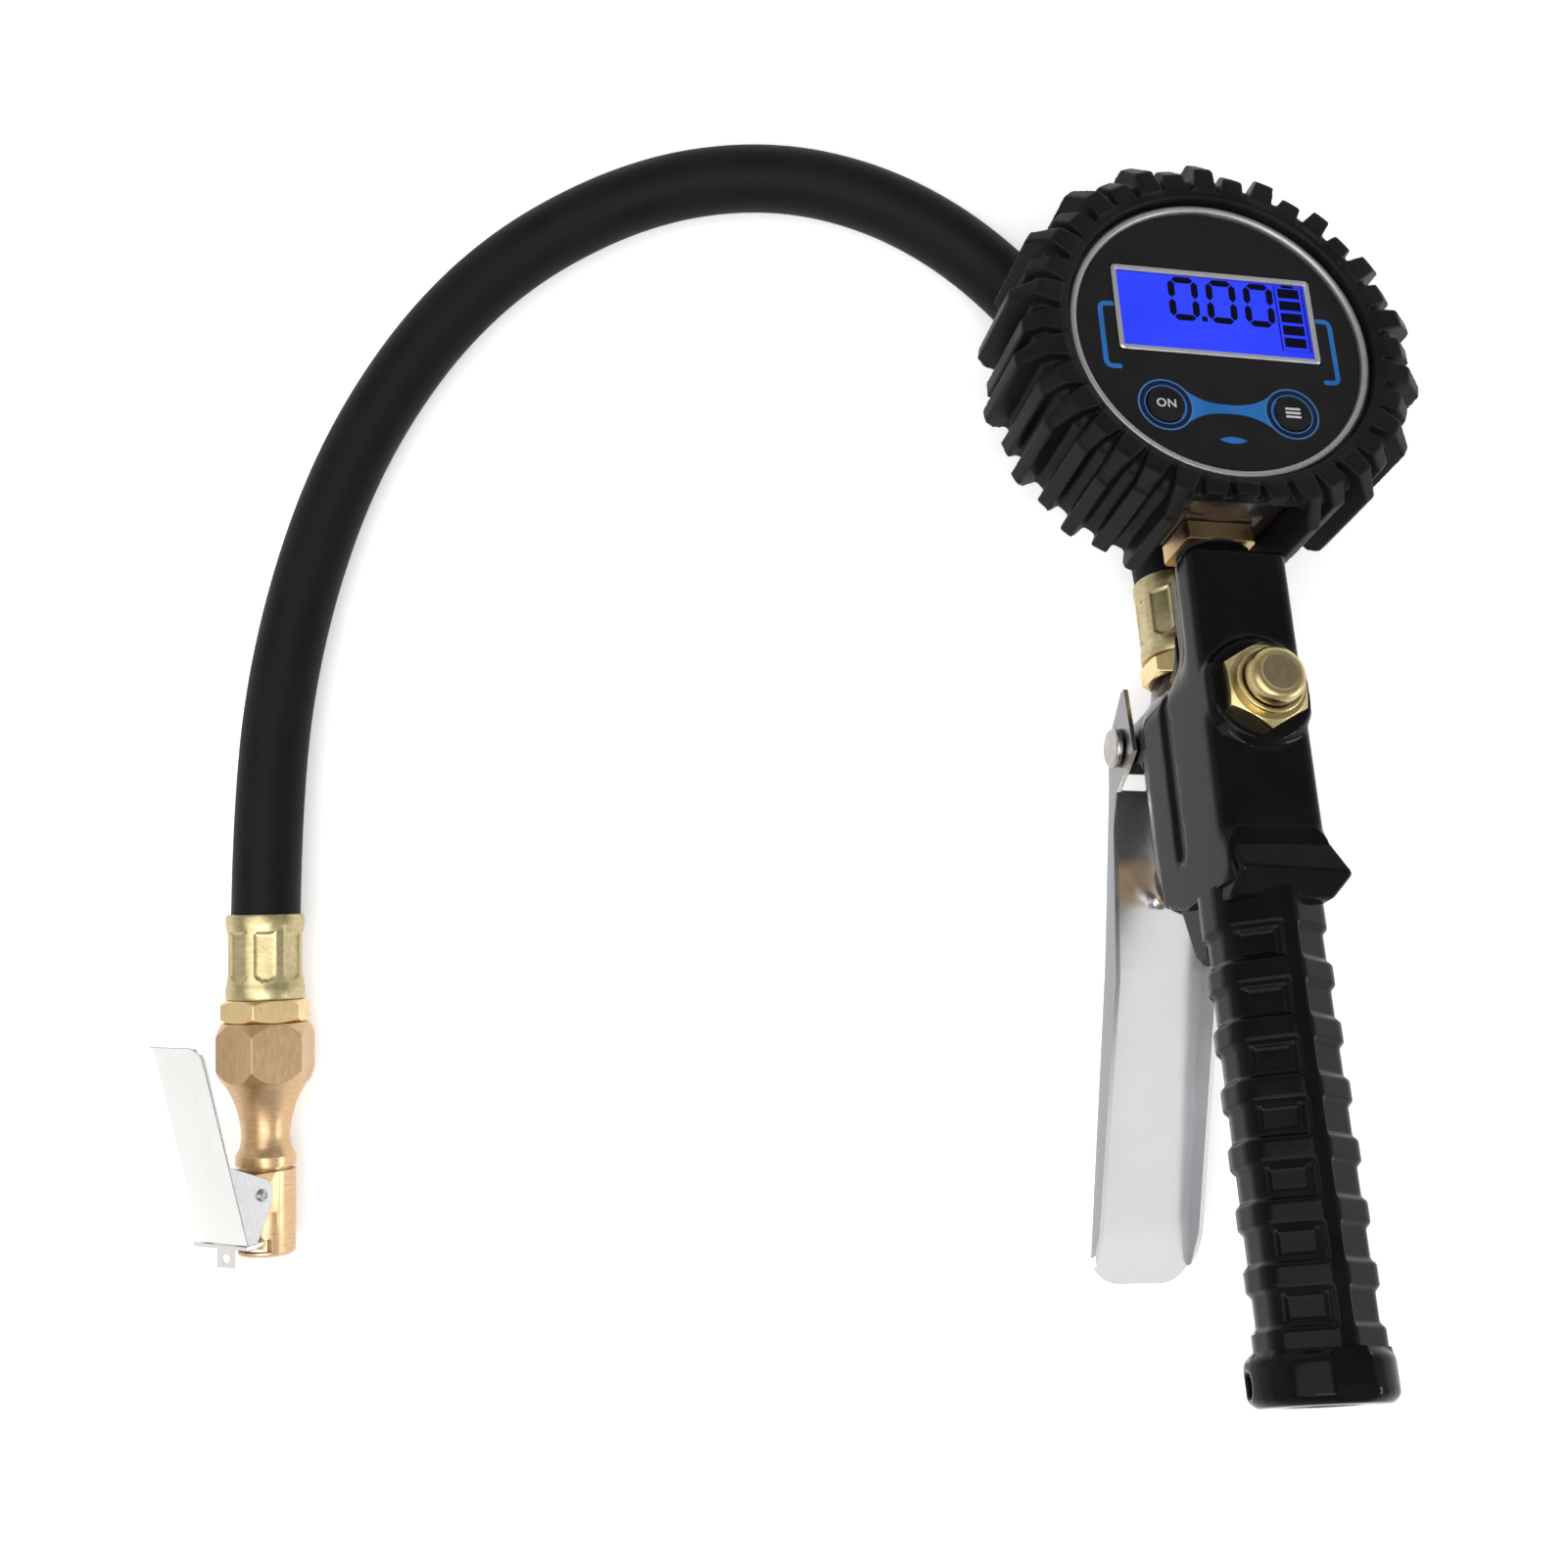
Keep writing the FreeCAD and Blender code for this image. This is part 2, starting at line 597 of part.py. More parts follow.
def body_casting():
    """The die-cast gun body: tube, web, housing, guard and the lever's lug."""
    body = new_body("body_casting", "gun")
    guard_root = S.guard_height + S.guard_rise
    guard_foot = S.guard_height - S.guard_fall
    grip_front = S.grip_ridge - S.rib_depth
    side = [
        (-S.body_front, S.body_top),
        (-S.body_waist_front, guard_root),
        (-S.guard_reach, S.guard_height),
        (-grip_front, guard_foot),
        (S.web_foot, guard_foot),
        (S.housing_back, S.housing_bottom),
        (S.housing_back, S.web_top),
        (S.tube_back, S.web_top),
        (S.tube_back, S.body_top),
    ]
    pad(body, outline(body, "side", "YZ_Plane", side), S.body_half_width * 2, middle=True)
    flank = S.body_half_width.number
    back = S.tube_back
    soften(body, S.tube_back_round, lambda e: e.BoundBox.ZLength > 5
           and spans(e, (None, back, S.web_top), (None, back, S.body_top)))
    crest_low = (-flank, -S.guard_reach, guard_foot + 0.5)
    crest_high = (flank, -S.body_waist_front, guard_root + 0.5)
    soften(body, S.guard_round, lambda e: e.BoundBox.XLength > flank
           and spans(e, crest_low, crest_high))
    front_low = (None, -S.guard_reach, guard_foot)
    front_high = (None, -grip_front, S.body_top)
    soften(body, S.body_edge_round, lambda e: e.BoundBox.XLength < 1e-3
           and abs(abs(e.BoundBox.XMin) - flank) < 1e-3 and spans(e, front_low, front_high))
    housing = [
        (0, S.housing_bottom, S.housing_radius, 1),
        (S.housing_radius, S.housing_bottom + S.housing_radius),
        (S.housing_radius, S.housing_top),
        (0, S.housing_top),
    ]
    revolve(body, outline(body, "housing", "XZ_Plane", housing, -S.housing_back))
    pad(body, disc(body, "neck", "XY_Plane", S.neck_radius, offset=S.body_top - 1),
        S.neck_height + 1)
    pad(body, disc(body, "bleed_boss", "XZ_Plane", S.bleed_boss_radius, 0, S.bleed_height),
        S.bleed_boss_front)
    pad(body, disc(body, "valve_seat", "XZ_Plane", S.valve_seat_radius, 0, S.valve_height,
                   offset=-S.housing_back), S.valve_seat_face - S.housing_back, reverse=True)
    lug = [
        (S.housing_back, S.pivot_height - S.pivot_lug_radius),
        (S.pivot_back, S.pivot_height - S.pivot_lug_radius, S.pivot_lug_radius, 1),
        (S.pivot_back, S.pivot_height + S.pivot_lug_radius),
        (S.housing_back, S.pivot_height + S.pivot_lug_radius),
    ]
    pad(body, outline(body, "pivot_lug", "YZ_Plane", lug), S.housing_radius * 2, middle=True)
    grip(body)
    ports(body)
    return body


def grip_section(body, name, shrink, offset):
    """The grip's section: round behind, with two facets and a ridge in front."""
    radius = S.grip_radius - shrink
    corner = S.grip_corner - shrink * 0.5
    shoulder = S.grip_ridge - shrink * 1.4
    half = S.grip_ridge_half
    crest = S.grip_ridge
    points = [(radius, 0, radius, 1), (0, radius, radius, 1), (-radius, 0), (-radius, -corner)]
    if number(shrink) > 0:
        points += [(-half, -shoulder), (-half, -crest), (half, -crest), (half, -shoulder)]
    else:
        points += [(-half, -crest), (half, -crest)]
    points += [(radius, -corner)]
    return outline(body, name, "XY_Plane", points, offset)


def grip(body):
    """The ribbed grip and the collar round the inlet, added to the casting."""
    guard_foot = S.guard_height - S.guard_fall
    start = S.collar_height - 2
    pad(body, grip_section(body, "grip", S.rib_depth, start), guard_foot + 1 - start)
    rib = pad(body, grip_section(body, "rib", 0.0, S.rib_first - S.rib_width / 2), S.rib_width)
    linear(body, [rib], S.rib_count, S.rib_pitch * (S.rib_count - 1))
    bevel = S.collar_bevel
    collar = [
        (0, 0),
        (S.collar_radius - bevel, 0),
        (S.collar_radius, bevel),
        (S.collar_radius, S.collar_height - bevel),
        (S.collar_radius - bevel, S.collar_height),
        (0, S.collar_height),
    ]
    revolve(body, outline(body, "collar", "XZ_Plane", collar))


def ports(body):
    """Ports, bores, passages and the side grooves cut into the casting."""
    half = S.web_groove_width / 2
    low = S.web_groove_low + half
    high = S.web_groove_high - half
    back = S.web_groove_back
    slot = [
        (back + half, low),
        (back + half, high, half, 1),
        (back - half, high),
        (back - half, low, half, 1),
    ]
    for side in (-1, 1):
        cut = outline(body, "groove", "YZ_Plane", slot, S.body_half_width * side)
        pocket(body, cut, S.web_groove_depth, reverse=side < 0)
    pocket(body, disc(body, "inlet", "XY_Plane", S.inlet_radius), S.inlet_depth, reverse=True)
    pocket(body, disc(body, "passage", "XY_Plane", S.passage_radius), S.valve_height + 2,
           reverse=True)
    pocket(body, disc(body, "hanger", "YZ_Plane", S.hanger_radius, S.hanger_back,
                      S.hanger_height, offset=-S.collar_radius), S.hanger_depth, reverse=True)
    neck_top = S.body_top + S.neck_height
    pocket(body, disc(body, "gauge_port", "XY_Plane", S.port_radius, offset=neck_top),
           S.port_depth)
    pocket(body, disc(body, "gauge_passage", "XY_Plane", S.small_passage, offset=neck_top),
           neck_top - S.bleed_height)
    for name, radius, depth in (
        ("hose_port", S.port_radius, S.port_depth),
        ("hose_passage", S.hose_passage, S.housing_top - S.valve_height),
    ):
        hole = disc(body, name, "XY_Plane", radius, 0, S.housing_back, offset=S.housing_top)
        pocket(body, hole, depth)
    for name, radius, end in (
        ("bleed_bore", S.bleed_bore_radius, S.bleed_bore_end),
        ("bleed_link", S.small_passage, S.housing_back),
    ):
        hole = disc(body, name, "XZ_Plane", radius, 0, S.bleed_height, offset=S.bleed_boss_front)
        pocket(body, hole, S.bleed_boss_front + end)
    for name, radius, end in (
        ("valve_bore", S.valve_bore_radius, S.valve_bore_end),
        ("valve_link", S.small_passage, Size(0.0, "(0)")),
    ):
        hole = disc(body, name, "XZ_Plane", radius, 0, S.valve_height, offset=-S.valve_seat_face)
        pocket(body, hole, S.valve_seat_face - end, reverse=True)
    pocket(body, disc(body, "pin_hole", "YZ_Plane", S.pin_radius + S.press_clearance,
                      S.pivot_back, S.pivot_height), BEYOND, middle=True)


def gauge_case():
    """The plastic cup that holds the gauge's works, with posts and a battery opening."""
    body = new_body("gauge_case", "face")
    wall = S.case_wall
    ledge = S.ring_radius - S.ring_width - 0.8
    seat = -S.ring_height
    inner = S.case_radius - wall
    floor = -S.case_depth + wall
    profile = [
        (0, -S.case_depth),
        (S.case_radius, -S.case_depth),
        (S.case_radius, -S.case_front),
        (S.ring_radius + S.seat_clearance, -S.case_front),
        (S.ring_radius + S.seat_clearance, seat),
        (ledge, seat),
        (ledge, seat - 1.2),
        (inner, seat - 1.2),
        (inner, floor),
        (0, floor),
    ]
    revolve(body, outline(body, "profile", "XZ_Plane", profile))
    post = pad(body, disc(body, "post", "XY_Plane", S.post_radius, 0, S.post_circle, floor - 0.5),
               S.case_depth - wall - S.board_depth - S.board_thickness + 0.5)
    polar(body, [post], 3)
    pocket(body, disc(body, "battery_hole", "XY_Plane", S.cap_radius + S.seat_clearance, 0,
                      S.cap_rise, offset=-S.case_depth), wall, reverse=True)
    pocket(body, disc(body, "stem_hole", "XZ_Plane", S.stem_shank_radius + S.seat_clearance, 0,
                      -S.face_forward, offset=S.case_radius - wall * 2), wall * 3, reverse=True)
    return body


def lugs(body, name, tip, tip_half, edge, crown, turn):
    """One kind of the boot's lugs: tapered to a tip, a flat crown and a sloped shoulder.

    The first is turned from the X axis. Its crown starts at the lip, its foot in the wall.
    """
    root = S.boot_lip_outer
    taper = (S.lug_root_half - tip_half) / (tip - root)
    wall = S.boot_wall_radius - 0.6
    low = -S.boot_back + 0.4
    split = S.boot_notch_front - 1.0
    features = []
    for part, inner, start, stop in (("foot", wall, low, split), ("crown", root, split, crown)):
        half = S.lug_root_half - (inner - root) * taper
        points = [(inner, -half), (tip, -tip_half), (tip, tip_half), (inner, half)]
        sketch = outline(body, f"{name}_{part}", "XY_Plane", points, start)
        turned = Placement(Vector(0, 0, number(start)), Rotation(Vector(0, 0, 1), turn))
        sketch.AttachmentOffset = turned
        features.append(pad(body, sketch, stop - start))
    doc.recompute()
    polar(body, features, S.lug_pairs)
    beyond = tip + 2
    fall = crown - (beyond - edge)
    shoulder = [(edge, crown), (beyond, fall), (beyond, crown + 1), (edge, crown + 1)]
    revolve(body, outline(body, f"{name}_shoulder", "XZ_Plane", shoulder), cut=True)


def gauge_boot():
    """The tyre-tread boot: a ring with two lips, tall and low lugs, and the stem's opening."""
    body = new_body("gauge_boot", "face")
    inner = S.case_radius + S.seat_clearance
    back = -S.boot_back
    sole = S.boot_wall_radius
    profile = [
        (S.boot_lip_radius, -S.case_front),
        (inner, -S.case_front),
        (inner, -S.case_depth),
        (S.boot_lip_back_radius, -S.case_depth),
        (S.boot_lip_back_radius, back),
        (sole - 0.8, back),
        (sole, back + 0.8),
        (sole, S.boot_notch_front - (sole - S.boot_shoulder)),
        (S.boot_shoulder, S.boot_notch_front),
        (S.boot_lip_outer, S.boot_notch_front),
        (S.boot_lip_outer, S.boot_lip_front),
        (S.boot_lip_radius + 0.5, S.boot_lip_front),
        (S.boot_lip_radius, S.boot_lip_front - 0.5),
    ]
    revolve(body, outline(body, "profile", "XZ_Plane", profile))
    step = 360.0 / S.lug_pairs.number
    lugs(body, "low_lug", S.low_lug_radius, S.low_tip_half, S.low_lug_edge, S.low_lug_crown, 0.0)
    lugs(body, "tall_lug", S.tall_lug_radius, S.tall_tip_half, S.tall_lug_edge, S.tall_lug_crown,
         step / 2)
    bevel = S.lug_back_bevel
    outer = S.tall_lug_radius + 1
    rear = [(outer - bevel - 1, back), (outer, back), (outer, back + bevel + 1)]
    revolve(body, outline(body, "rear_bevel", "XZ_Plane", rear), cut=True)
    gap = S.boot_gap_half
    below = rectangle(body, "gap", "XY_Plane", (-gap, -BEYOND), (gap, -S.boot_gap_lip),
                      S.tall_lug_crown + 1)
    pocket(body, below, S.boot_back + S.tall_lug_crown + 2)
    behind = rectangle(body, "gap_behind", "XY_Plane", (-gap, -BEYOND),
                       (gap, -S.boot_lip_back_radius + 3), back - 1)
    pocket(body, behind, S.boot_back + 1 - S.case_front, reverse=True)
    return body


def gauge_front():
    """The silver ring, the face panel, the display and its frame, and the two buttons."""
    ring_in = S.ring_radius - S.ring_width
    edge = 0.35
    turned_piece("bezel_ring", "face", [
        (ring_in, -S.ring_height),
        (S.ring_radius, -S.ring_height),
        (S.ring_radius, -edge),
        (S.ring_radius - edge, 0),
        (ring_in + edge, 0),
        (ring_in, -edge),
    ])
    panel = new_body("face_panel", "face")
    pad(panel, disc(panel, "panel", "XY_Plane", ring_in - S.thread_clearance, offset=-S.ring_height),
        S.panel_thickness)
    half = S.lcd_width / 2
    tall = S.lcd_height / 2
    mid = S.lcd_centre
    gap = S.thread_clearance
    window = rectangle(panel, "window", "XY_Plane", (-half - gap, mid - tall - gap),
                       (half + gap, mid + tall + gap), 0.0)
    pocket(panel, window, S.ring_height)
    for name, side in (("on_hole", -1), ("function_hole", 1)):
        hole = disc(panel, name, "XY_Plane", S.button_radius + S.moving_gap,
                    S.button_side * side, -S.button_low)
        pocket(panel, hole, S.ring_height)
    frame = new_body("lcd_frame", "face")
    border = S.lcd_border
    pad(frame, rectangle(frame, "frame", "XY_Plane", (-half, mid - tall), (half, mid + tall),
                         -S.ring_height), S.panel_thickness + S.lcd_raise)
    pocket(frame, rectangle(frame, "opening", "XY_Plane", (-half + border, mid - tall + border),
                            (half - border, mid + tall - border), 0.0), S.ring_height)
    screen = new_body("lcd_screen", "face")
    slack = border + S.thread_clearance
    pad(screen, rectangle(screen, "screen", "XY_Plane", (-half + slack, mid - tall + slack),
                          (half - slack, mid + tall - slack), -S.ring_height),
        S.panel_thickness - 0.3)
    low = -S.ring_height - 1.8
    for name, place in (("on_button", "on_press"), ("function_button", "function_press")):
        turned_piece(name, place, [
            (0, low),
            (S.button_radius + 1.0, low),
            (S.button_radius + 1.0, low + 1.2),
            (S.button_radius, low + 1.2),
            (S.button_radius, -0.75),
            (S.button_radius - 0.4, -0.45),
            (0, -0.45),
        ])


def gauge_works():
    """The display module, circuit board, coin cell, battery cap and pressure sensor."""
    module = new_body("lcd_module", "face")
    half = S.lcd_width / 2 + 1.2
    tall = S.lcd_height / 2 + 1.0
    pad(module, rectangle(module, "module", "XY_Plane", (-half, S.lcd_centre - tall),
                          (half, S.lcd_centre + tall), -S.board_depth),
        S.board_depth - S.ring_height)
    board_back = -S.board_depth - S.board_thickness
    board = new_body("circuit_board", "face")
    pad(board, disc(board, "board", "XY_Plane", S.board_radius, offset=board_back),
        S.board_thickness)
    cell = new_body("battery_cell", "face")
    pad(cell, disc(cell, "cell", "XY_Plane", S.cell_radius, 0, S.cap_rise,
                   board_back - S.cell_thickness), S.cell_thickness)
    cap = new_body("battery_cap", "face")
    pad(cap, disc(cap, "cap", "XY_Plane", S.cap_radius, 0, S.cap_rise, -S.case_depth), S.case_wall)
    pad(cap, disc(cap, "hub", "XY_Plane", S.cell_radius - 1, 0, S.cap_rise, -S.case_depth + 0.5),
        S.case_depth - 0.5 + board_back - S.cell_thickness)
    slot = rectangle(cap, "coin_slot", "XY_Plane", (-7.0, S.cap_rise - 0.8),
                     (7.0, S.cap_rise + 0.8), -S.case_depth)
    pocket(cap, slot, 1.0, reverse=True)


def stem():
    """The brass stem that carries the gauge on the casting, its seal ring and the sensor."""
    neck_top = S.body_top + S.neck_height
    block_low = neck_top + S.stem_washer_height
    block_top = S.gauge_height - S.case_radius - S.thread_clearance
    end = neck_top - S.port_depth + 1
    body = new_body("gauge_stem", "gun")
    half = S.stem_width / 2
    deep = S.stem_depth / 2
    pad(body, rectangle(body, "block", "XY_Plane", (-half, -deep), (half, deep), block_low),
        block_top - block_low)
    soften(body, 0.7, lambda e: e.BoundBox.ZLength > 1, "Chamfer")
    pad(body, disc(body, "upper_shank", "XY_Plane", S.stem_shank_radius, offset=block_low + 0.5),
        S.stem_end - block_low - 0.5)
    pad(body, disc(body, "lower_shank", "XY_Plane", S.port_radius - S.thread_clearance, offset=end),
        block_low + 0.5 - end)
    pocket(body, disc(body, "air_bore", "XY_Plane", S.small_passage, offset=S.stem_end),
           S.stem_end - end)
    turned_piece("stem_seal", "gun", [
        (S.port_radius + S.thread_clearance, neck_top),
        (S.neck_radius - 1.3, neck_top),
        (S.neck_radius - 1.3, block_low),
        (S.port_radius + S.thread_clearance, block_low),
    ])
    turned_piece("pressure_sensor", "gun", [
        (0, S.stem_end),
        (S.sensor_radius, S.stem_end),
        (S.sensor_radius, S.stem_end + S.sensor_height),
        (0, S.stem_end + S.sensor_height),
    ])


def bleed_valve():
    """The press-to-bleed valve in the front of the body."""
    nut = new_body("bleed_nut", "bleed")
    face = S.bleed_boss_front
    hex_top = face + S.bleed_nut_height
    pad(nut, hexagon(nut, "hexagon", S.bleed_nut_flats, face), S.bleed_nut_height)
    bevel_hexagon(nut, S.bleed_nut_flats, None, hex_top, 0.8)
    pad(nut, disc(nut, "ring", "XY_Plane", S.bleed_ring_radius, offset=hex_top - 0.5),
        S.bleed_ring_height + 0.5)
    shank_end = face - S.bleed_nut_shank
    pad(nut, disc(nut, "shank", "XY_Plane", S.bleed_bore_radius - S.thread_clearance,
                  offset=shank_end), S.bleed_nut_shank + 0.5)
    top = hex_top + S.bleed_ring_height
    pocket(nut, disc(nut, "recess", "XY_Plane", S.bleed_cap_radius + S.moving_gap, offset=top),
           S.bleed_ring_height + S.bleed_travel + S.moving_gap)
    pocket(nut, disc(nut, "stem_bore", "XY_Plane", S.bleed_stem_radius + S.running_clearance,
                     offset=top), top - shank_end)
    cap_low = hex_top
    cap_high = cap_low + S.bleed_cap_height
    seal_high = shank_end - S.moving_gap
    seal_low = seal_high - S.bleed_seal_height
    head_low = seal_low - 0.9
    bend = S.bleed_cap_round
    turned_piece("bleed_button", "bleed", [
        (0, head_low),
        (S.bleed_seal_radius - 0.4, head_low),
        (S.bleed_seal_radius - 0.4, seal_low),
        (S.bleed_stem_radius, seal_low),
        (S.bleed_stem_radius, cap_low),
        (S.bleed_cap_radius, cap_low),
        (S.bleed_cap_radius, cap_high - bend),
        (S.bleed_cap_radius - bend * 0.3, cap_high - bend * 0.3),
        (S.bleed_cap_radius - bend, cap_high),
        (0, cap_high),
    ])
    turned_piece("bleed_seal", "bleed", [
        (S.bleed_stem_radius + S.press_clearance, seal_low),
        (S.bleed_seal_radius, seal_low),
        (S.bleed_seal_radius, seal_high),
        (S.bleed_stem_radius + S.press_clearance, seal_high),
    ])
    spring("bleed_spring", "bleed", S.bleed_spring_radius, S.bleed_spring_wire,
           -S.bleed_bore_end, head_low - S.seat_clearance)


def main_valve():
    """The push valve that the lever opens: guide nut, stem, seal and spring."""
    nut = new_body("valve_nut", "valve")
    face = S.valve_seat_face
    nut_end = face - S.valve_nut_shank
    pad(nut, hexagon(nut, "hexagon", S.valve_nut_flats, face), S.valve_nut_height)
    bevel_hexagon(nut, S.valve_nut_flats, None, face + S.valve_nut_height, 0.7)
    pad(nut, disc(nut, "shank", "XY_Plane", S.valve_bore_radius - S.thread_clearance,
                  offset=nut_end), S.valve_nut_shank + 0.5)
    pocket(nut, disc(nut, "stem_bore", "XY_Plane", S.valve_stem_radius + S.running_clearance,
                     offset=face + S.valve_nut_height), S.valve_nut_height + S.valve_nut_shank)
    seal_high = nut_end - S.moving_gap
    seal_low = seal_high - S.valve_seal_height
    head_low = seal_low - S.valve_head_height
    drop = S.pivot_height - S.valve_height
    slope = (S.lever_bend_back - S.lever_start) / (S.lever_bend - S.lever_top)
    web_back = S.lever_start + (drop - S.lever_top) * slope
    dome = S.pivot_back + web_back - (S.lever_sheet + S.moving_gap + S.valve_stem_radius) * 1.06
    turned_piece("valve_stem", "valve", [
        (0, head_low),
        (S.valve_head_radius, head_low),
        (S.valve_head_radius, seal_low),
        (S.valve_stem_radius, seal_low),
        (S.valve_stem_radius, dome),
        (S.valve_stem_radius * 0.86, dome + S.valve_stem_radius * 0.5),
        (S.valve_stem_radius * 0.5, dome + S.valve_stem_radius * 0.86),
        (0, dome + S.valve_stem_radius),
    ])
    turned_piece("valve_seal", "valve", [
        (S.valve_stem_radius + S.press_clearance, seal_low),
        (S.valve_head_radius + 0.3, seal_low),
        (S.valve_head_radius + 0.3, seal_high),
        (S.valve_stem_radius + S.press_clearance, seal_high),
    ])
    spring("valve_spring", "valve", S.valve_spring_radius, S.valve_spring_wire,
           S.valve_bore_end, head_low - S.seat_clearance)


def corner_cuts(body, plane_name, half, tip, radius, up):
    """Round the two corners of a sheet's end, seen along the plane's normal."""
    for side in (1, -1):
        points = [
            ((half + 1) * side, tip - 3 * up),
            ((half + 1) * side, tip + radius * up),
            (half * side, tip + radius * up, radius, -side * up),
            ((half - radius) * side, tip),
            ((half - radius) * side, tip - 3 * up),
        ]
        pocket(body, outline(body, plane_name, "XZ_Plane", points), BEYOND * 4, middle=True)


def trigger_lever():
    """The long lever: a folded channel of sheet steel with two ears round its pin."""
    body = new_body("trigger_lever", "lever")
    ear = S.ear_rise
    nose = S.ear_reach
    deep = S.flange_depth
    bend_back = S.lever_bend_back
    side = [
        (S.lever_start, -S.lever_top),
        (bend_back, -S.lever_bend),
        (S.lever_tip_back, -S.lever_length),
        (S.lever_tip_back - 1.2, -S.lever_length),
        (S.lever_tip_back - deep - 2.4, -S.lever_length + 8.8),
        (bend_back + 1.0, -S.lever_bend - 19.8),
        (bend_back - deep + 0.7, -S.lever_bend - 3.7),
        (S.lever_start - 2.0, -S.lever_top - 8.4),
        (S.lever_start - 5.4, -S.lever_top - 2.1),
        (-S.pin_radius - 0.5, -S.lever_top + 0.2),
        (-nose, -S.pin_radius - 1.3),
        (-nose + 1.2, ear),
        (-nose + 2.6, ear),
        (0, ear - 3.7),
        (S.lever_start - 1.9, 1.0),
    ]
    width = S.lever_half_width * 2
    pad(body, outline(body, "side", "YZ_Plane", side), width, middle=True)
    outer = S.lever_half_width.number
    web_low = (None, S.lever_start, -S.lever_length)
    web_high = (None, S.lever_tip_back, -S.lever_top)

    def folded(edge):
        box = edge.BoundBox
        if box.XLength > 1e-3 or abs(abs(box.XMin) - outer) > 1e-3 or box.ZLength < 20:
            return False
        if not spans(edge, web_low, web_high):
            return False
        middle = edge.valueAt((edge.FirstParameter + edge.LastParameter) / 2)
        return middle.y > lever_back_at(-middle.z) - 0.5

    soften(body, S.lever_edge_round, folded)
    sheet_in = S.lever_sheet * 1.08
    clear = 40.0
    inside = [
        (-clear, clear),
        (clear, clear),
        (clear, -S.lever_top),
        (S.lever_start - sheet_in, -S.lever_top),
        (bend_back - sheet_in, -S.lever_bend),
        (S.lever_tip_back - sheet_in, -S.lever_length),
        (S.lever_tip_back - sheet_in, -S.lever_length - 5),
        (-clear, -S.lever_length - 5),
    ]
    pocket(body, outline(body, "inside", "YZ_Plane", inside), width - S.lever_sheet * 2, middle=True)
    corner_cuts(body, "tip_corner", S.lever_half_width, -S.lever_length, 6.5, 1)
    pocket(body, disc(body, "pin_hole", "YZ_Plane", S.pin_radius + S.running_clearance), BEYOND,
           middle=True)
    return body


def lever_back_at(down):
    """How far the web's back lies behind the pin, at a height below the pin."""
    if down < S.lever_bend.number:
        part = (down - S.lever_top.number) / (S.lever_bend.number - S.lever_top.number)
        return S.lever_start.number + part * (S.lever_bend_back.number - S.lever_start.number)
    part = (down - S.lever_bend.number) / (S.lever_length.number - S.lever_bend.number)
    return S.lever_bend_back.number + part * (S.lever_tip_back.number - S.lever_bend_back.number)


def lever_pin():
    inner = S.lever_half_width + S.moving_gap
    outer = inner + S.pin_head_height
    half = 0.4
    turned_piece("lever_pin", "pin", [
        (0, -outer),
        (S.pin_head_radius - half, -outer),
        (S.pin_head_radius, -outer + half),
        (S.pin_head_radius, -inner),
        (S.pin_radius, -inner),
        (S.pin_radius, inner),
        (S.pin_head_radius, inner),
        (S.pin_head_radius, outer - half),
        (S.pin_head_radius - half, outer),
        (0, outer),
    ])


def ferrule(label, frame):
    """A crimped ferrule on the Z axis of its frame: round rims and pressed flats between."""
    body = new_body(label, frame)
    long = S.ferrule_length
    rim = S.ferrule_rim
    tip = S.ferrule_radius
    for name, low, high in (("rim", 0.0, rim), ("far_rim", long - rim, long)):
        edge = 0.4
        points = [
            (0, low),
            (tip - edge, low),
            (tip, low + edge),
            (tip, high - edge),
            (tip - edge, high),
            (0, high),
        ]
        if name == "rim":
            revolve(body, outline(body, name, "XZ_Plane", points))
            flats = []
            count = int(S.ferrule_facets.number)
            for index in range(count):
                angle = 2 * math.pi * (index + 0.5) / count
                reach = S.ferrule_flats / (2 * math.cos(math.pi / count))
                flats.append((reach * math.cos(angle), reach * math.sin(angle)))
            pad(body, outline(body, "flats", "XY_Plane", flats, rim - 0.3), long - rim * 2 + 0.6)
        else:
            revolve(body, outline(body, name, "XZ_Plane", points))
    pocket(body, disc(body, "bore", "XY_Plane", S.hose_diameter / 2 + S.barb_clearance),
           long, reverse=True)
    return body


def hose_end(label, frame, flats, height, shank):
    """A brass hose end: hexagon, threaded shank below it and a barbed tail above it."""
    body = new_body(label, frame)
    pad(body, hexagon(body, "hexagon", flats), height)
    bevel_hexagon(body, flats, 0.0, height, 0.7)
    pad(body, disc(body, "shank", "XY_Plane", S.port_radius - S.thread_clearance, offset=-shank),
        shank + 0.5)
    tail = S.hose_bore / 2 - S.barb_clearance
    root = tail - 0.5
    step = (S.ferrule_length - 1) / 3
    points = [(0, height - 0.5), (root, height - 0.5), (root, height + 0.8)]
    low = height + 0.8
    for index in range(3):
        points.append((tail, low))
        points.append((root, low + step - 0.4))
        low = low + step - 0.2
    points.append((0, low - 0.2))
    revolve(body, outline(body, "tail", "XZ_Plane", points))
    pocket(body, disc(body, "bore", "XY_Plane", S.barb_bore, offset=-shank), shank + BEYOND / 2,
           reverse=True)
    return body


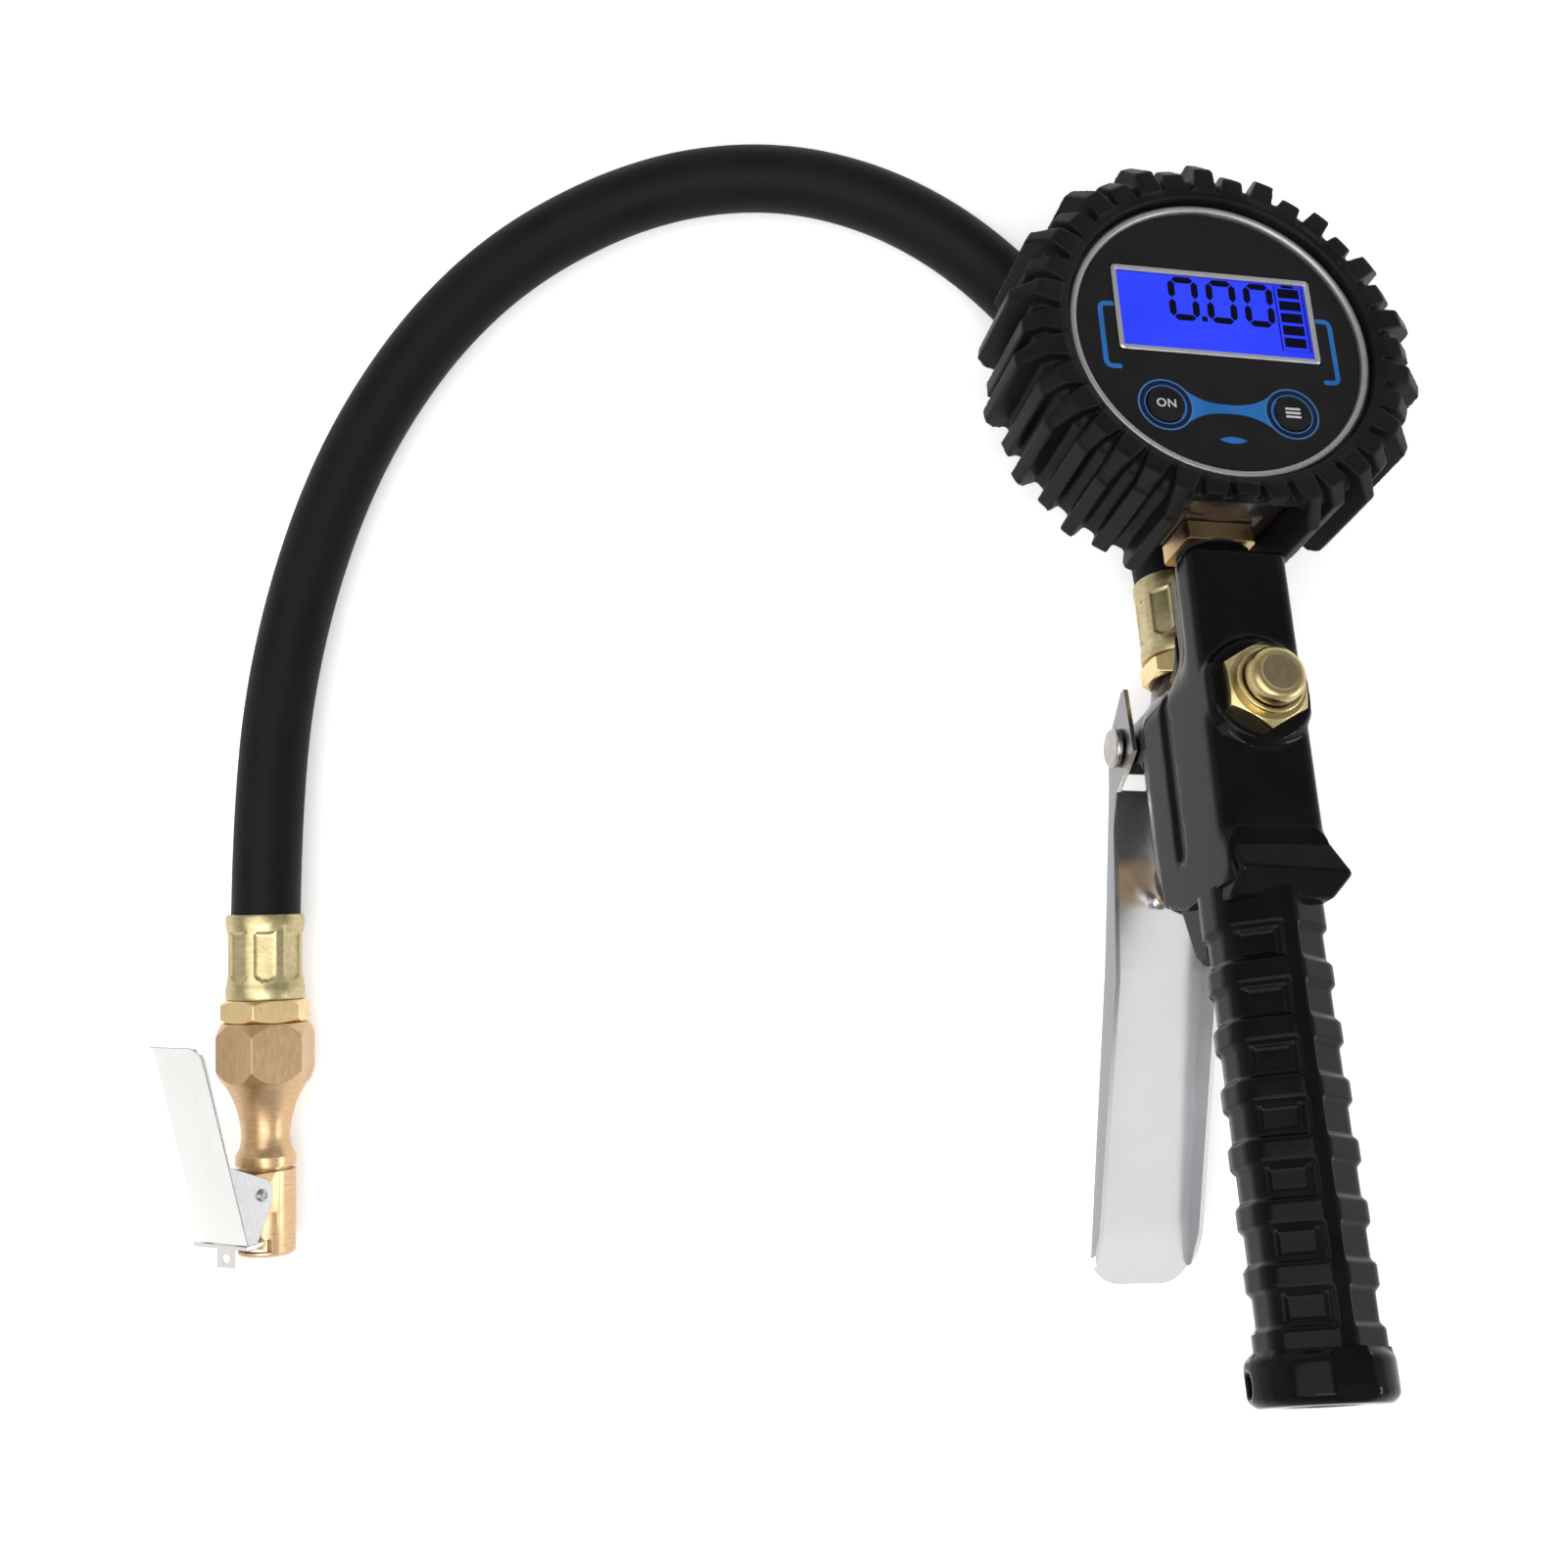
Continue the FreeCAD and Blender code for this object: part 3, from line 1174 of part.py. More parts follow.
def chuck_body():
    """The chuck: mouth, turned neck, hexagon, and the lug that carries the clip."""
    body = new_body("chuck_body", "chuck")
    flare = S.chuck_hex_flats / 2 - 0.3
    rise = S.chuck_hex_low - S.waist_height
    swell = flare - S.waist_radius
    sweep = (swell * swell + rise * rise) / (swell * 2)
    rim_low = S.head_length + S.head_slit
    rim_high = rim_low + S.rim_height
    edge = 0.5
    profile = [
        (0, 0),
        (S.head_radius - edge, 0),
        (S.head_radius, edge),
        (S.head_radius, S.head_length),
        (S.head_slit_radius, S.head_length),
        (S.head_slit_radius, rim_low),
        (S.rim_radius, rim_low),
        (S.rim_radius, rim_high),
        (S.waist_radius + 0.3, rim_high + 1.6),
        (S.waist_radius, S.waist_height, sweep, -1),
        (flare, S.chuck_hex_low),
        (flare, S.chuck_hex_high),
        (0, S.chuck_hex_high),
    ]
    revolve(body, outline(body, "profile", "XZ_Plane", profile))
    pad(body, hexagon(body, "hexagon", S.chuck_hex_flats, S.chuck_hex_low),
        S.chuck_hex_high - S.chuck_hex_low)
    bevel_hexagon(body, S.chuck_hex_flats, S.chuck_hex_low, S.chuck_hex_high, 1.0)
    low = S.clip_lug_low
    high = S.head_length
    reach = S.clip_lug_reach
    lug_side = [
        (0, low),
        (reach - 1.8, low),
        (reach, low + 1.8),
        (reach, high - 1.8),
        (reach - 1.8, high),
        (0, high),
    ]
    pad(body, outline(body, "clip_lug", "XZ_Plane", lug_side), S.clip_lug_half * 2, middle=True)
    slot = rectangle(body, "spring_slot", "XZ_Plane", (S.head_slit_radius + 0.2, low - 1),
                     (reach + 1, high + 0.01))
    pocket(body, slot, S.clip_lug_slot * 2, middle=True)
    pocket(body, disc(body, "pin_hole", "XZ_Plane", S.clip_pin_radius + S.press_clearance,
                      S.clip_pin_out, S.clip_pin_up), BEYOND, middle=True)
    pocket(body, disc(body, "mouth", "XY_Plane", S.mouth_radius), S.mouth_depth, reverse=True)
    pocket(body, disc(body, "seal_seat", "XY_Plane", S.seal_seat_radius, offset=S.seal_seat_end),
           S.seal_seat_end - S.mouth_depth)
    pocket(body, disc(body, "bore", "XY_Plane", S.chuck_bore), S.chuck_hex_high, reverse=True)
    pocket(body, disc(body, "port", "XY_Plane", S.port_radius, offset=S.chuck_hex_high),
           S.port_depth)
    jaw_side = S.jaw_half_width + S.moving_gap
    jaw_slot = rectangle(body, "jaw_slot", "XY_Plane", (S.head_radius - 3.0, -jaw_side),
                         (BEYOND, jaw_side), S.jaw_slot_high)
    pocket(body, jaw_slot, S.jaw_slot_high - S.jaw_slot_low)
    return body


def chuck_works():
    """The mouth's seal and the pin that opens the tyre's valve."""
    seal_low = S.seal_seat_end - S.seal_height
    seal_reach = S.seal_seat_radius - S.press_clearance
    turned_piece("chuck_seal", "chuck", [
        (S.seal_bore, seal_low),
        (seal_reach, seal_low),
        (seal_reach, S.seal_seat_end),
        (S.seal_bore, S.seal_seat_end),
    ])
    tip = seal_low + 0.3
    flange_low = S.seal_seat_end + 0.4
    flange_high = flange_low + 1.6
    flange = S.chuck_bore - S.press_clearance
    turned_piece("chuck_depressor", "chuck", [
        (0, tip),
        (S.probe_radius, tip),
        (S.probe_radius, flange_low),
        (flange, flange_low),
        (flange, flange_high),
        (0, flange_high),
    ])


def clip():
    """The clip's lever, jaw, pin and spring."""
    body = new_body("clip_lever", "clip")
    low = S.clip_low - S.clip_pin_up
    high = S.clip_high - S.clip_pin_up
    low_out = S.clip_low_out - S.clip_pin_out
    high_out = S.clip_high_out - S.clip_pin_out
    slope = (high_out - low_out) / (high - low)
    sheet_in = S.clip_sheet * 1.05
    fold = 6.3
    eye = S.clip_pin_radius + 1.9
    side = [
        (low_out, low),
        (high_out, high),
        (high_out - sheet_in, high),
        (low_out + (fold - low) * slope - sheet_in, fold),
        (-eye * 0.5, eye),
        (-eye, eye * 0.5),
        (-eye, -eye * 0.5),
        (low_out - 2.4, low),
    ]
    width = S.clip_half_width * 2
    pad(body, outline(body, "side", "XZ_Plane", side), width, middle=True)
    inside = [
        (low_out - sheet_in, low),
        (high_out - sheet_in, high),
        (high_out - sheet_in, high + 5),
        (-30.0, high + 5),
        (-30.0, low - 5),
        (low_out - sheet_in, low - 5),
    ]
    pocket(body, outline(body, "inside", "XZ_Plane", inside), width - S.clip_sheet * 2, middle=True)
    tip = S.clip_round
    for turn in (1, -1):
        points = [
            (S.clip_half_width * turn, high - tip, tip, turn),
            ((S.clip_half_width - tip) * turn, high),
            ((S.clip_half_width - tip) * turn, high + 3),
            ((S.clip_half_width + 1) * turn, high + 3),
            ((S.clip_half_width + 1) * turn, high - tip),
        ]
        pocket(body, outline(body, "top_corner", "YZ_Plane", points), BEYOND * 2, middle=True)
    pocket(body, disc(body, "pin_hole", "XZ_Plane", S.clip_pin_radius + S.running_clearance),
           BEYOND, middle=True)

    jaw = new_body("clip_jaw", "clip")
    under = low - S.jaw_sheet
    inner = S.jaw_reach - S.clip_pin_out
    outer = low_out + 0.1
    plate = rectangle(jaw, "plate", "XZ_Plane", (inner, under), (outer, low))
    pad(jaw, plate, S.jaw_half_width * 2, middle=True)
    tab = rectangle(jaw, "tab", "XZ_Plane", (outer - S.jaw_sheet, low - S.jaw_tab_length - 0.8),
                    (outer, low))
    pad(jaw, tab, S.jaw_tab_half * 2, middle=True)
    hole = disc(jaw, "tab_hole", "YZ_Plane", 0.9, 0, low - S.jaw_tab_length + 1.2)
    pocket(jaw, hole, BEYOND, middle=True)

    long = S.clip_half_width + 0.5
    turned_piece("clip_pin", "clip_axle", [
        (0, -long),
        (S.clip_pin_radius, -long),
        (S.clip_pin_radius, long),
        (0, long),
    ])
    reach = S.clip_lug_slot - 0.25
    spring("clip_spring", "clip_axle", S.clip_spring_radius, S.clip_spring_wire, -reach, reach)


def cord_wire(points, share=0.45):
    """Straight runs joined by tangent arcs, and the radius of each arc."""
    parts = []
    radii = []
    start = points[0]
    for before, corner, after in zip(points, points[1:], points[2:]):
        into = (corner - before).normalize()
        out = (after - corner).normalize()
        half = into.getAngle(out) / 2
        reach = share * min((corner - before).Length, (after - corner).Length)
        radii.append(reach / math.tan(half))
        first = corner - into * reach
        last = corner + out * reach
        bulge = (out - into).normalize() * (radii[-1] / math.cos(half) - radii[-1])
        parts.append(Part.LineSegment(start, first).toShape())
        parts.append(Part.Arc(first, corner + bulge, last).toShape())
        start = last
    parts.append(Part.LineSegment(start, points[-1]).toShape())
    return Part.Wire(parts), radii


def pipe(wire, radius):
    """A round solid along a wire."""
    edge = wire.Edges[0]
    start = edge.valueAt(edge.FirstParameter)
    ring = Part.makeCircle(radius, start, edge.tangentAt(edge.FirstParameter))
    return wire.makePipeShell([Part.Wire(ring)], True, False)


def hose(port, chuck):
    """The hose from the gun's fitting to the chuck's, resting on the table between them."""
    straight = port.Rotation.multVec(Vector(0, 0, 1))
    joint = number(S.fitting_height) + 0.5
    far = number(S.chuck_hex_high + S.nut_hex_height) + 0.5
    points = [port.Base + straight * joint, port.Base + straight * (joint + HOSE_STRAIGHT)]
    points += [Vector(port.Base.x + x, port.Base.y + y, z) for x, y, z in ROUTE]
    up = chuck.Rotation.multVec(Vector(0, 0, 1))
    points += [chuck.Base + up * (far + CHUCK_STRAIGHT), chuck.Base + up * far]
    wire, radii = cord_wire(points)
    outer = number(S.hose_diameter) / 2
    inner = number(S.hose_bore) / 2
    shape = pipe(wire, outer)
    share = shape.Volume / (math.pi * outer ** 2 * wire.Length)
    print("hose bends:", [round(r, 1) for r in radii], "length:", round(wire.Length, 1))
    print("hose volume share of section times length:", round(share, 4))
    for start, inward in ((points[0], straight), (points[-1], up)):
        shape = shape.cut(Part.makeCylinder(inner, number(S.hose_bore_depth), start, inward))
    feature = doc.addObject("Part::Feature", "hose")
    feature.Label = "hose"
    feature.Shape = shape
    pieces["hose"] = (feature, "table")
    return points


def lowest_and_middle(shapes):
    """The middle of the pieces in plan, from points on their surfaces, and their lowest point."""
    spots = []
    for shape in shapes:
        spots += shape.tessellate(0.02)[0]
    xs = [p.x for p in spots]
    ys = [p.y for p in spots]
    return (min(xs) + max(xs)) / 2, (min(ys) + max(ys)) / 2, min(p.z for p in spots)


body_casting()
gauge_case()
gauge_boot()
gauge_front()
gauge_works()
stem()
bleed_valve()
main_valve()
trigger_lever()
lever_pin()
hose_end("hose_fitting", "port", S.fitting_flats, S.fitting_height, S.port_depth - 0.5)
ferrule("gun_ferrule", "gun_ferrule")
chuck_body()
chuck_works()
clip()
hose_end("chuck_fitting", "chuck_nut", S.nut_hex_flats, S.nut_hex_height, S.port_depth - 0.5)
ferrule("chuck_ferrule", "chuck_ferrule")
doc.recompute()

# The gun lies on its back: its face up, its gauge end lower, rolled to one side
lie = Rotation(Vector(0, 0, 1), number(S.lie_yaw)) * Rotation(Vector(1, 0, 0), -number(S.lie_dip))
lie = lie * Rotation(Vector(0, 1, 0), number(S.lie_roll)) * Rotation(Vector(1, 0, 0), -90)
lay = Placement(Vector(0, 0, 0), lie)
frames = gun_frames()
fitting_top = Placement(Vector(0, 0, number(S.fitting_height)), Rotation())
frames["gun_ferrule"] = frames["port"] * fitting_top
gun_labels = [label for label, (_, frame) in pieces.items() if frame in frames]


def moved(thing, place):
    shape = thing.Shape.copy()
    shape.Placement = place
    return shape


on_gun = [moved(pieces[label][0], lay * frames[pieces[label][1]]) for label in gun_labels]
middle_x, middle_y, lowest = lowest_and_middle(on_gun)
lay.Base = Vector(-middle_x, -middle_y, -lowest)
frames = {name: lay * frame for name, frame in frames.items()}

port_spot = frames["port"].Base
roll = math.radians(number(S.chuck_roll))
along = Vector(CHUCK_LINE).normalize()
clip_side = Vector(-math.sin(roll), 0, math.cos(roll))
spot = Vector(port_spot.x + CHUCK_SPOT[0], port_spot.y + CHUCK_SPOT[1], number(S.chuck_lift))
chuck_frame = Placement(spot, Rotation(clip_side, along.cross(clip_side), along, "ZXY"))
clip_place = Vector(number(S.clip_pin_out), 0, number(S.clip_pin_up))
frames["chuck"] = chuck_frame
frames["clip"] = chuck_frame * Placement(clip_place, Rotation())
frames["clip_axle"] = frames["clip"] * Placement(Vector(0, 0, 0), Rotation(Vector(1, 0, 0), 90))
nut_low = number(S.chuck_hex_high)
nut_high = number(S.chuck_hex_high + S.nut_hex_height)
frames["chuck_nut"] = chuck_frame * Placement(Vector(0, 0, nut_low), Rotation())
frames["chuck_ferrule"] = chuck_frame * Placement(Vector(0, 0, nut_high), Rotation())
frames["table"] = Placement()
route = hose(frames["port"], frames["chuck"])

for thing, frame in pieces.values():
    thing.Placement = frames[frame]
doc.recompute()

for name, frame in frames.items():
    base = frame.Base
    print("frame", name, [round(v, 3) for v in (base.x, base.y, base.z)],
          [[round(c, 5) for c in frame.Rotation.multVec(axis)]
           for axis in (Vector(1, 0, 0), Vector(0, 1, 0), Vector(0, 0, 1))])
print("hose points:", [[round(v, 3) for v in (p.x, p.y, p.z)] for p in route])

faults = []
for thing in doc.Objects:
    if "Invalid" in thing.State or "Error" in thing.State:
        faults.append(f"{thing.Label}: {thing.State}")
for label, (thing, _) in pieces.items():
    if thing.Shape.isNull() or not thing.Shape.isValid() or len(thing.Shape.Solids) != 1:
        faults.append(f"{label}: not one valid solid")
if faults:
    raise RuntimeError("; ".join(faults))
for label, (thing, _) in pieces.items():
    thing.Shape.exportStep(f"parts/{label}.step")
print("pieces:", len(pieces))
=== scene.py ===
import json
import math

import bmesh
import bpy
from mathutils import Matrix, Vector

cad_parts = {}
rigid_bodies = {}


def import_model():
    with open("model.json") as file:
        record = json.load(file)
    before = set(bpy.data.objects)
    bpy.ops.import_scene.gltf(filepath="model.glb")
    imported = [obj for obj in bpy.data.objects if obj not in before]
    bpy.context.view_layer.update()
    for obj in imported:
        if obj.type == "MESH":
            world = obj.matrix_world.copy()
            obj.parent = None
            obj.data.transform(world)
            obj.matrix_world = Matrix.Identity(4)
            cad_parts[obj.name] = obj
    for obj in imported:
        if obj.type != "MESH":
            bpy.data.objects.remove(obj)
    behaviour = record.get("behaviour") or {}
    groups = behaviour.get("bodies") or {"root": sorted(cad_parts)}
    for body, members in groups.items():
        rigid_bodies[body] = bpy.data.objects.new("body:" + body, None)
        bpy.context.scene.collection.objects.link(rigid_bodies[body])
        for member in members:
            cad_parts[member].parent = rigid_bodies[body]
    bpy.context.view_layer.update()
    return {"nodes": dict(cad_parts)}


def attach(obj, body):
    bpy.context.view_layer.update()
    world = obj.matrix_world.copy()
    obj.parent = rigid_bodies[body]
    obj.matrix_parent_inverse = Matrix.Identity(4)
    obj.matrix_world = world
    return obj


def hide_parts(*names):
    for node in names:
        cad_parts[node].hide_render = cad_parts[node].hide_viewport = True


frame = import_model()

NODES = frame["nodes"]
MM = 0.001


# Places
def turn(degrees, axis):
    return Matrix.Rotation(math.radians(degrees), 4, axis)


def shift(x, y, z):
    """A move given in millimetres."""
    return Matrix.Translation((x * MM, y * MM, z * MM))


# The gun upright: +Z up its grip to the gauge, face towards -Y, lever towards +Y
GUN = shift(6.726, -111.401, 78.053) @ turn(2.4, "Z") @ turn(-16.8, "X") @ turn(12, "Y") @ turn(-90, "X")
BLEED_HEIGHT = 120.0
BLEED = GUN @ shift(0, 0, BLEED_HEIGHT) @ turn(90, "X")
PORT = GUN @ shift(0, 18, 134.5)
PORT_NUT_HIGH = 4.5
GUN_FERRULE = PORT @ shift(0, 0, PORT_NUT_HIGH)

# The gauge's face: +X to its right, +Y up and +Z out of it
FACE = GUN @ shift(0, -16.6, 190.5) @ turn(90, "X")

# The chuck: +Z up its axis from the mouth, +X towards its clip
CHUCK_ROLL = math.radians(30)
CHUCK_UP = Vector((-0.021, 1.0, 0.0)).normalized()
rolled = Vector((-math.sin(CHUCK_ROLL), 0.0, math.cos(CHUCK_ROLL)))
CHUCK_SIDE = (rolled - CHUCK_UP * rolled.dot(CHUCK_UP)).normalized()
CHUCK_AXES = Matrix((CHUCK_SIDE, CHUCK_UP.cross(CHUCK_SIDE), CHUCK_UP)).transposed().to_4x4()
CHUCK = shift(-182.492, -99.696, 9.9) @ CHUCK_AXES
CHUCK_NUT = CHUCK @ shift(0, 0, 45.3)
CHUCK_FERRULE = CHUCK @ shift(0, 0, 49.9)
CLIP = CHUCK @ shift(7.4, 0, 12.7)


# Nodes of a material or the world, which is their owner
def plug_in(owner, socket, value):
    """Link a socket to another, or set its value."""
    if isinstance(value, bpy.types.NodeSocket):
        owner.node_tree.links.new(value, socket)
    elif socket.type == "RGBA" and len(value) == 3:
        socket.default_value = (*value, 1)
    else:
        socket.default_value = value


def add(owner, kind, first=(), **values):
    """A node with its sockets filled: the first ones in order, others by name with _ for a space."""
    node = owner.node_tree.nodes.new(kind)
    for index, value in enumerate(first):
        plug_in(owner, node.inputs[index], value)
    for key, value in values.items():
        plug_in(owner, node.inputs[key.replace("_", " ")], value)
    return node


def maths(owner, operation, *values):
    node = add(owner, "ShaderNodeMath", values)
    node.operation = operation
    return node.outputs[0]


def remap(owner, value, low, high, start=0.35, end=0.65, smooth=False):
    """Low where the value is start, high where it is end."""
    node = add(owner, "ShaderNodeMapRange", Value=value, From_Min=start, From_Max=end, To_Min=low,
               To_Max=high)
    if smooth:
        node.interpolation_type = "SMOOTHSTEP"
    return node.outputs[0]


def noise_field(mat, scale, detail=3.0, rough=0.55, stretch=(1, 1, 1)):
    place = add(mat, "ShaderNodeTexCoord").outputs["Object"]
    mapped = add(mat, "ShaderNodeMapping", Vector=place, Scale=stretch).outputs[0]
    field = add(mat, "ShaderNodeTexNoise", Vector=mapped, Scale=scale, Detail=detail, Roughness=rough)
    return field.outputs["Fac"]


def mix_colour(mat, factor, first, second):
    node = mat.node_tree.nodes.new("ShaderNodeMix")
    node.data_type = "RGBA"
    for index, value in ((0, factor), (6, first), (7, second)):
        plug_in(mat, node.inputs[index], value)
    return node.outputs[2]


def bump(mat, height, strength, distance):
    return add(mat, "ShaderNodeBump", Height=height, Strength=strength, Distance=distance).outputs[0]


def edge_wear(mat):
    """0 on flats and in hollows, 1 on sharp edges."""
    point = add(mat, "ShaderNodeNewGeometry").outputs["Pointiness"]
    return remap(mat, point, 0.0, 1.0, 0.52, 0.62)


# Kinds of material; rough is the range of roughness
def new_material(name):
    mat = bpy.data.materials.new(name)
    mat.use_nodes = True
    mat.node_tree.nodes.clear()
    return mat


def surface(mat, **values):
    """Give a material its shader."""
    shader = add(mat, "ShaderNodeBsdfPrincipled", **values)
    add(mat, "ShaderNodeOutputMaterial", [shader.outputs[0]])
    return mat


def gloss_paint():
    """Thick gloss black paint over a rough casting: slow waves, fine orange peel, dust."""
    mat = new_material("casting_paint")
    peel = noise_field(mat, 900, 2.0)
    waves = noise_field(mat, 110, 2.0)
    dust = noise_field(mat, 2600, 1.0)
    dark, pale, grey = (0.0036, 0.0036, 0.0038), (0.0058, 0.0058, 0.0062), (0.02, 0.02, 0.02)
    shade = mix_colour(mat, remap(mat, waves, 0, 1), dark, pale)
    shade = mix_colour(mat, remap(mat, dust, 0, 0.25, 0.7, 0.78), shade, grey)
    height = maths(mat, "MULTIPLY_ADD", waves, 3.0, peel)
    return surface(mat, Base_Color=shade, Roughness=remap(mat, waves, 0.10, 0.17),
                   Normal=bump(mat, height, 0.1, 0.0001), Specular_IOR_Level=0.085)


def rubber(name, dark, pale, rough, gloss, grain=2200, scuff=0.25):
    """Moulded rubber: fine grain, bloom in patches, scuffed pale edges."""
    mat = new_material(name)
    patches = noise_field(mat, 60, 4.0)
    fine = noise_field(mat, grain, 3.0)
    shade = mix_colour(mat, remap(mat, patches, 0, 1), dark, pale)
    worn = maths(mat, "MULTIPLY", edge_wear(mat), scuff)
    shade = mix_colour(mat, worn, shade, tuple(c * 2.2 + 0.008 for c in pale))
    return surface(mat, Base_Color=shade, Roughness=remap(mat, patches, *rough),
                   Normal=bump(mat, fine, 0.22, 0.00006), Specular_IOR_Level=gloss)


def metal(name, dark, pale, rough, stretch=(1, 1, 1), scale=700, depth=0.15, blotch=120, tarnish=0.3,
          edge=1.0):
    """Metal with tool marks along one direction and patches of tarnish; edge dims a glancing look."""
    mat = new_material(name)
    marks = noise_field(mat, scale, 5.0, 0.65, stretch)
    patches = noise_field(mat, blotch, 4.0, 0.6)
    shade = mix_colour(mat, remap(mat, marks, 0, 1, 0.3, 0.7), dark, pale)
    dull = tuple(c * 0.72 for c in dark)
    shade = mix_colour(mat, remap(mat, patches, 0, tarnish, 0.5, 0.75), shade, dull)
    return surface(mat, Base_Color=shade, Metallic=1.0, Roughness=remap(mat, patches, *rough),
                   Normal=bump(mat, marks, depth, 0.00003), Specular_Tint=(edge, edge, edge))


def plastic(name, dark, pale, rough, gloss=0.3, grain=1500, depth=0.08):
    mat = new_material(name)
    patches = noise_field(mat, 150, 3.0)
    fine = noise_field(mat, grain, 2.0)
    shade = mix_colour(mat, remap(mat, patches, 0, 1), dark, pale)
    return surface(mat, Base_Color=shade, Roughness=remap(mat, patches, *rough),
                   Normal=bump(mat, fine, depth, 0.00004), Specular_IOR_Level=gloss)


def glowing(name, colour, strength):
    """A backlit display: an even glow, a little brighter in places."""
    mat = new_material(name)
    cells = noise_field(mat, 40, 1.0)
    brighter = tuple(min(1.0, c * 1.2 + 0.004) for c in colour)
    shade = mix_colour(mat, remap(mat, cells, 0, 1), colour, brighter)
    return surface(mat, Base_Color=(0.004, 0.004, 0.02), Roughness=0.3, Emission_Color=shade,
                   Emission_Strength=strength, Specular_IOR_Level=0.05)


# Paint and rubber
PAINT = gloss_paint()
BOOT = rubber("boot_rubber", (0.0055, 0.0055, 0.006), (0.0100, 0.0100, 0.0106), (0.38, 0.52), gloss=0.1)
HOSE = rubber("hose_rubber", (0.0058, 0.0058, 0.0062), (0.0098, 0.0098, 0.0104), (0.5, 0.62), gloss=0.12,
              grain=1800, scuff=0.0)
SEAL = rubber("seal_rubber", (0.01, 0.01, 0.01), (0.02, 0.02, 0.02), (0.5, 0.7), gloss=0.3)

# Brass, bare and plated
BRASS = metal("brass_brushed", (0.50, 0.33, 0.16), (0.78, 0.55, 0.29), (0.28, 0.4), (9, 1, 9), scale=500,
              depth=0.3)
CHUCK_BRASS = metal("brass_turned", (0.50, 0.325, 0.18), (0.68, 0.47, 0.27), (0.34, 0.44), (1, 12, 1),
                    scale=420, depth=0.2)
NUT_BRASS = metal("brass_nut", (0.74, 0.53, 0.26), (0.92, 0.72, 0.38), (0.26, 0.38), (1, 10, 1), scale=500,
                  depth=0.2)
PLATED = metal("brass_plated", (0.40, 0.33, 0.17), (0.58, 0.50, 0.28), (0.3, 0.42), (4, 1, 4), scale=300,
               depth=0.1)
GOLD = metal("bleed_gold", (0.42, 0.33, 0.155), (0.58, 0.47, 0.24), (0.24, 0.34), scale=400, depth=0.08,
             blotch=90, tarnish=0.2)
# Darker gold for the flat on the bleed cap's top: a painted dark reflection
CAP_REFLECTION = metal("cap_painted_reflection", (0.24, 0.195, 0.11), (0.33, 0.275, 0.165), (0.36, 0.48), scale=500, depth=0.1,
                 blotch=300, tarnish=0.15)

# Steel and chrome
CHROME = metal("lever_chrome", (0.90, 0.895, 0.895), (0.97, 0.97, 0.975), (0.22, 0.26), (14, 1, 14),
               depth=0.12, blotch=70, tarnish=0.0)
# Darker copy of the lever's chrome for its flanks: a painted dark reflection
FLANGE = metal("lever_flank_painted_reflection", (0.22, 0.22, 0.23), (0.28, 0.28, 0.295), (0.24, 0.28), (14, 1, 14),
               depth=0.1, blotch=70, tarnish=0.0)
# Darker, duller copy of the lever's chrome for the inside of its right flank: painted shade
LEVER_INSIDE_SHADE = metal("lever_inside_painted_shade", (0.14, 0.14, 0.145), (0.20, 0.20, 0.21), (0.3, 0.36), (14, 1, 14),
                     depth=0.1, blotch=70, tarnish=0.0, edge=0.35)
STEEL = metal("clip_steel", (0.95, 0.93, 0.905), (1.0, 0.985, 0.965), (0.2, 0.3), (8, 1, 8), scale=600,
              depth=0.08, blotch=60, tarnish=0.05)
# Grey copy of the clip's steel for its side faces: painted shade
CLIP_FLANK_SHADE = metal("clip_flank_painted_shade", (0.50, 0.50, 0.50), (0.68, 0.68, 0.68), (0.28, 0.4), (8, 1, 8), scale=600,
                   depth=0.12, blotch=90, tarnish=0.15)
# Near-black metal for the rounded folds of the lever and the clip: a painted dark reflection
FOLD_REFLECTION = metal("fold", (0.10, 0.095, 0.095), (0.18, 0.17, 0.165), (0.25, 0.35))
SPRING = metal("spring_steel", (0.35, 0.35, 0.36), (0.55, 0.55, 0.56), (0.25, 0.4))
PIN_STEEL = metal("pin_steel", (0.34, 0.32, 0.31), (0.48, 0.46, 0.45), (0.22, 0.34), scale=900, depth=0.1)
RING = metal("silver_ring", (0.36, 0.37, 0.38), (0.44, 0.45, 0.46), (0.42, 0.54), scale=1500, depth=0.04,
             blotch=200, tarnish=0.1)
LCD_RIM = metal("silver_rim", (0.50, 0.50, 0.51), (0.58, 0.58, 0.59), (0.32, 0.44), scale=1500, depth=0.04,
                blotch=200, tarnish=0.1)

# Plastic, print and display
CASE = plastic("case_plastic", (0.022, 0.016, 0.016), (0.034, 0.025, 0.024), (0.14, 0.24))
FACE_PRINT = plastic("face_panel", (0.0108, 0.0108, 0.0120), (0.0128, 0.0128, 0.0142), (0.3, 0.34),
                     gloss=0.1, grain=2500, depth=0.03)
BUTTON = plastic("button_plastic", (0.008, 0.008, 0.009), (0.012, 0.012, 0.013), (0.25, 0.35), gloss=0.14)
BOARD = plastic("board", (0.01, 0.12, 0.04), (0.02, 0.2, 0.07), (0.4, 0.5))
BLUE_PRINT = plastic("blue_print", (0.022, 0.13, 0.40), (0.030, 0.16, 0.46), (0.35, 0.45), gloss=0.1)
EDGE_PRINT = plastic("edge_print", (0.055, 0.15, 0.32), (0.070, 0.18, 0.37), (0.35, 0.45), gloss=0.1)
NAVY_PRINT = plastic("navy_print", (0.003, 0.012, 0.045), (0.005, 0.016, 0.058), (0.35, 0.45), gloss=0.1)
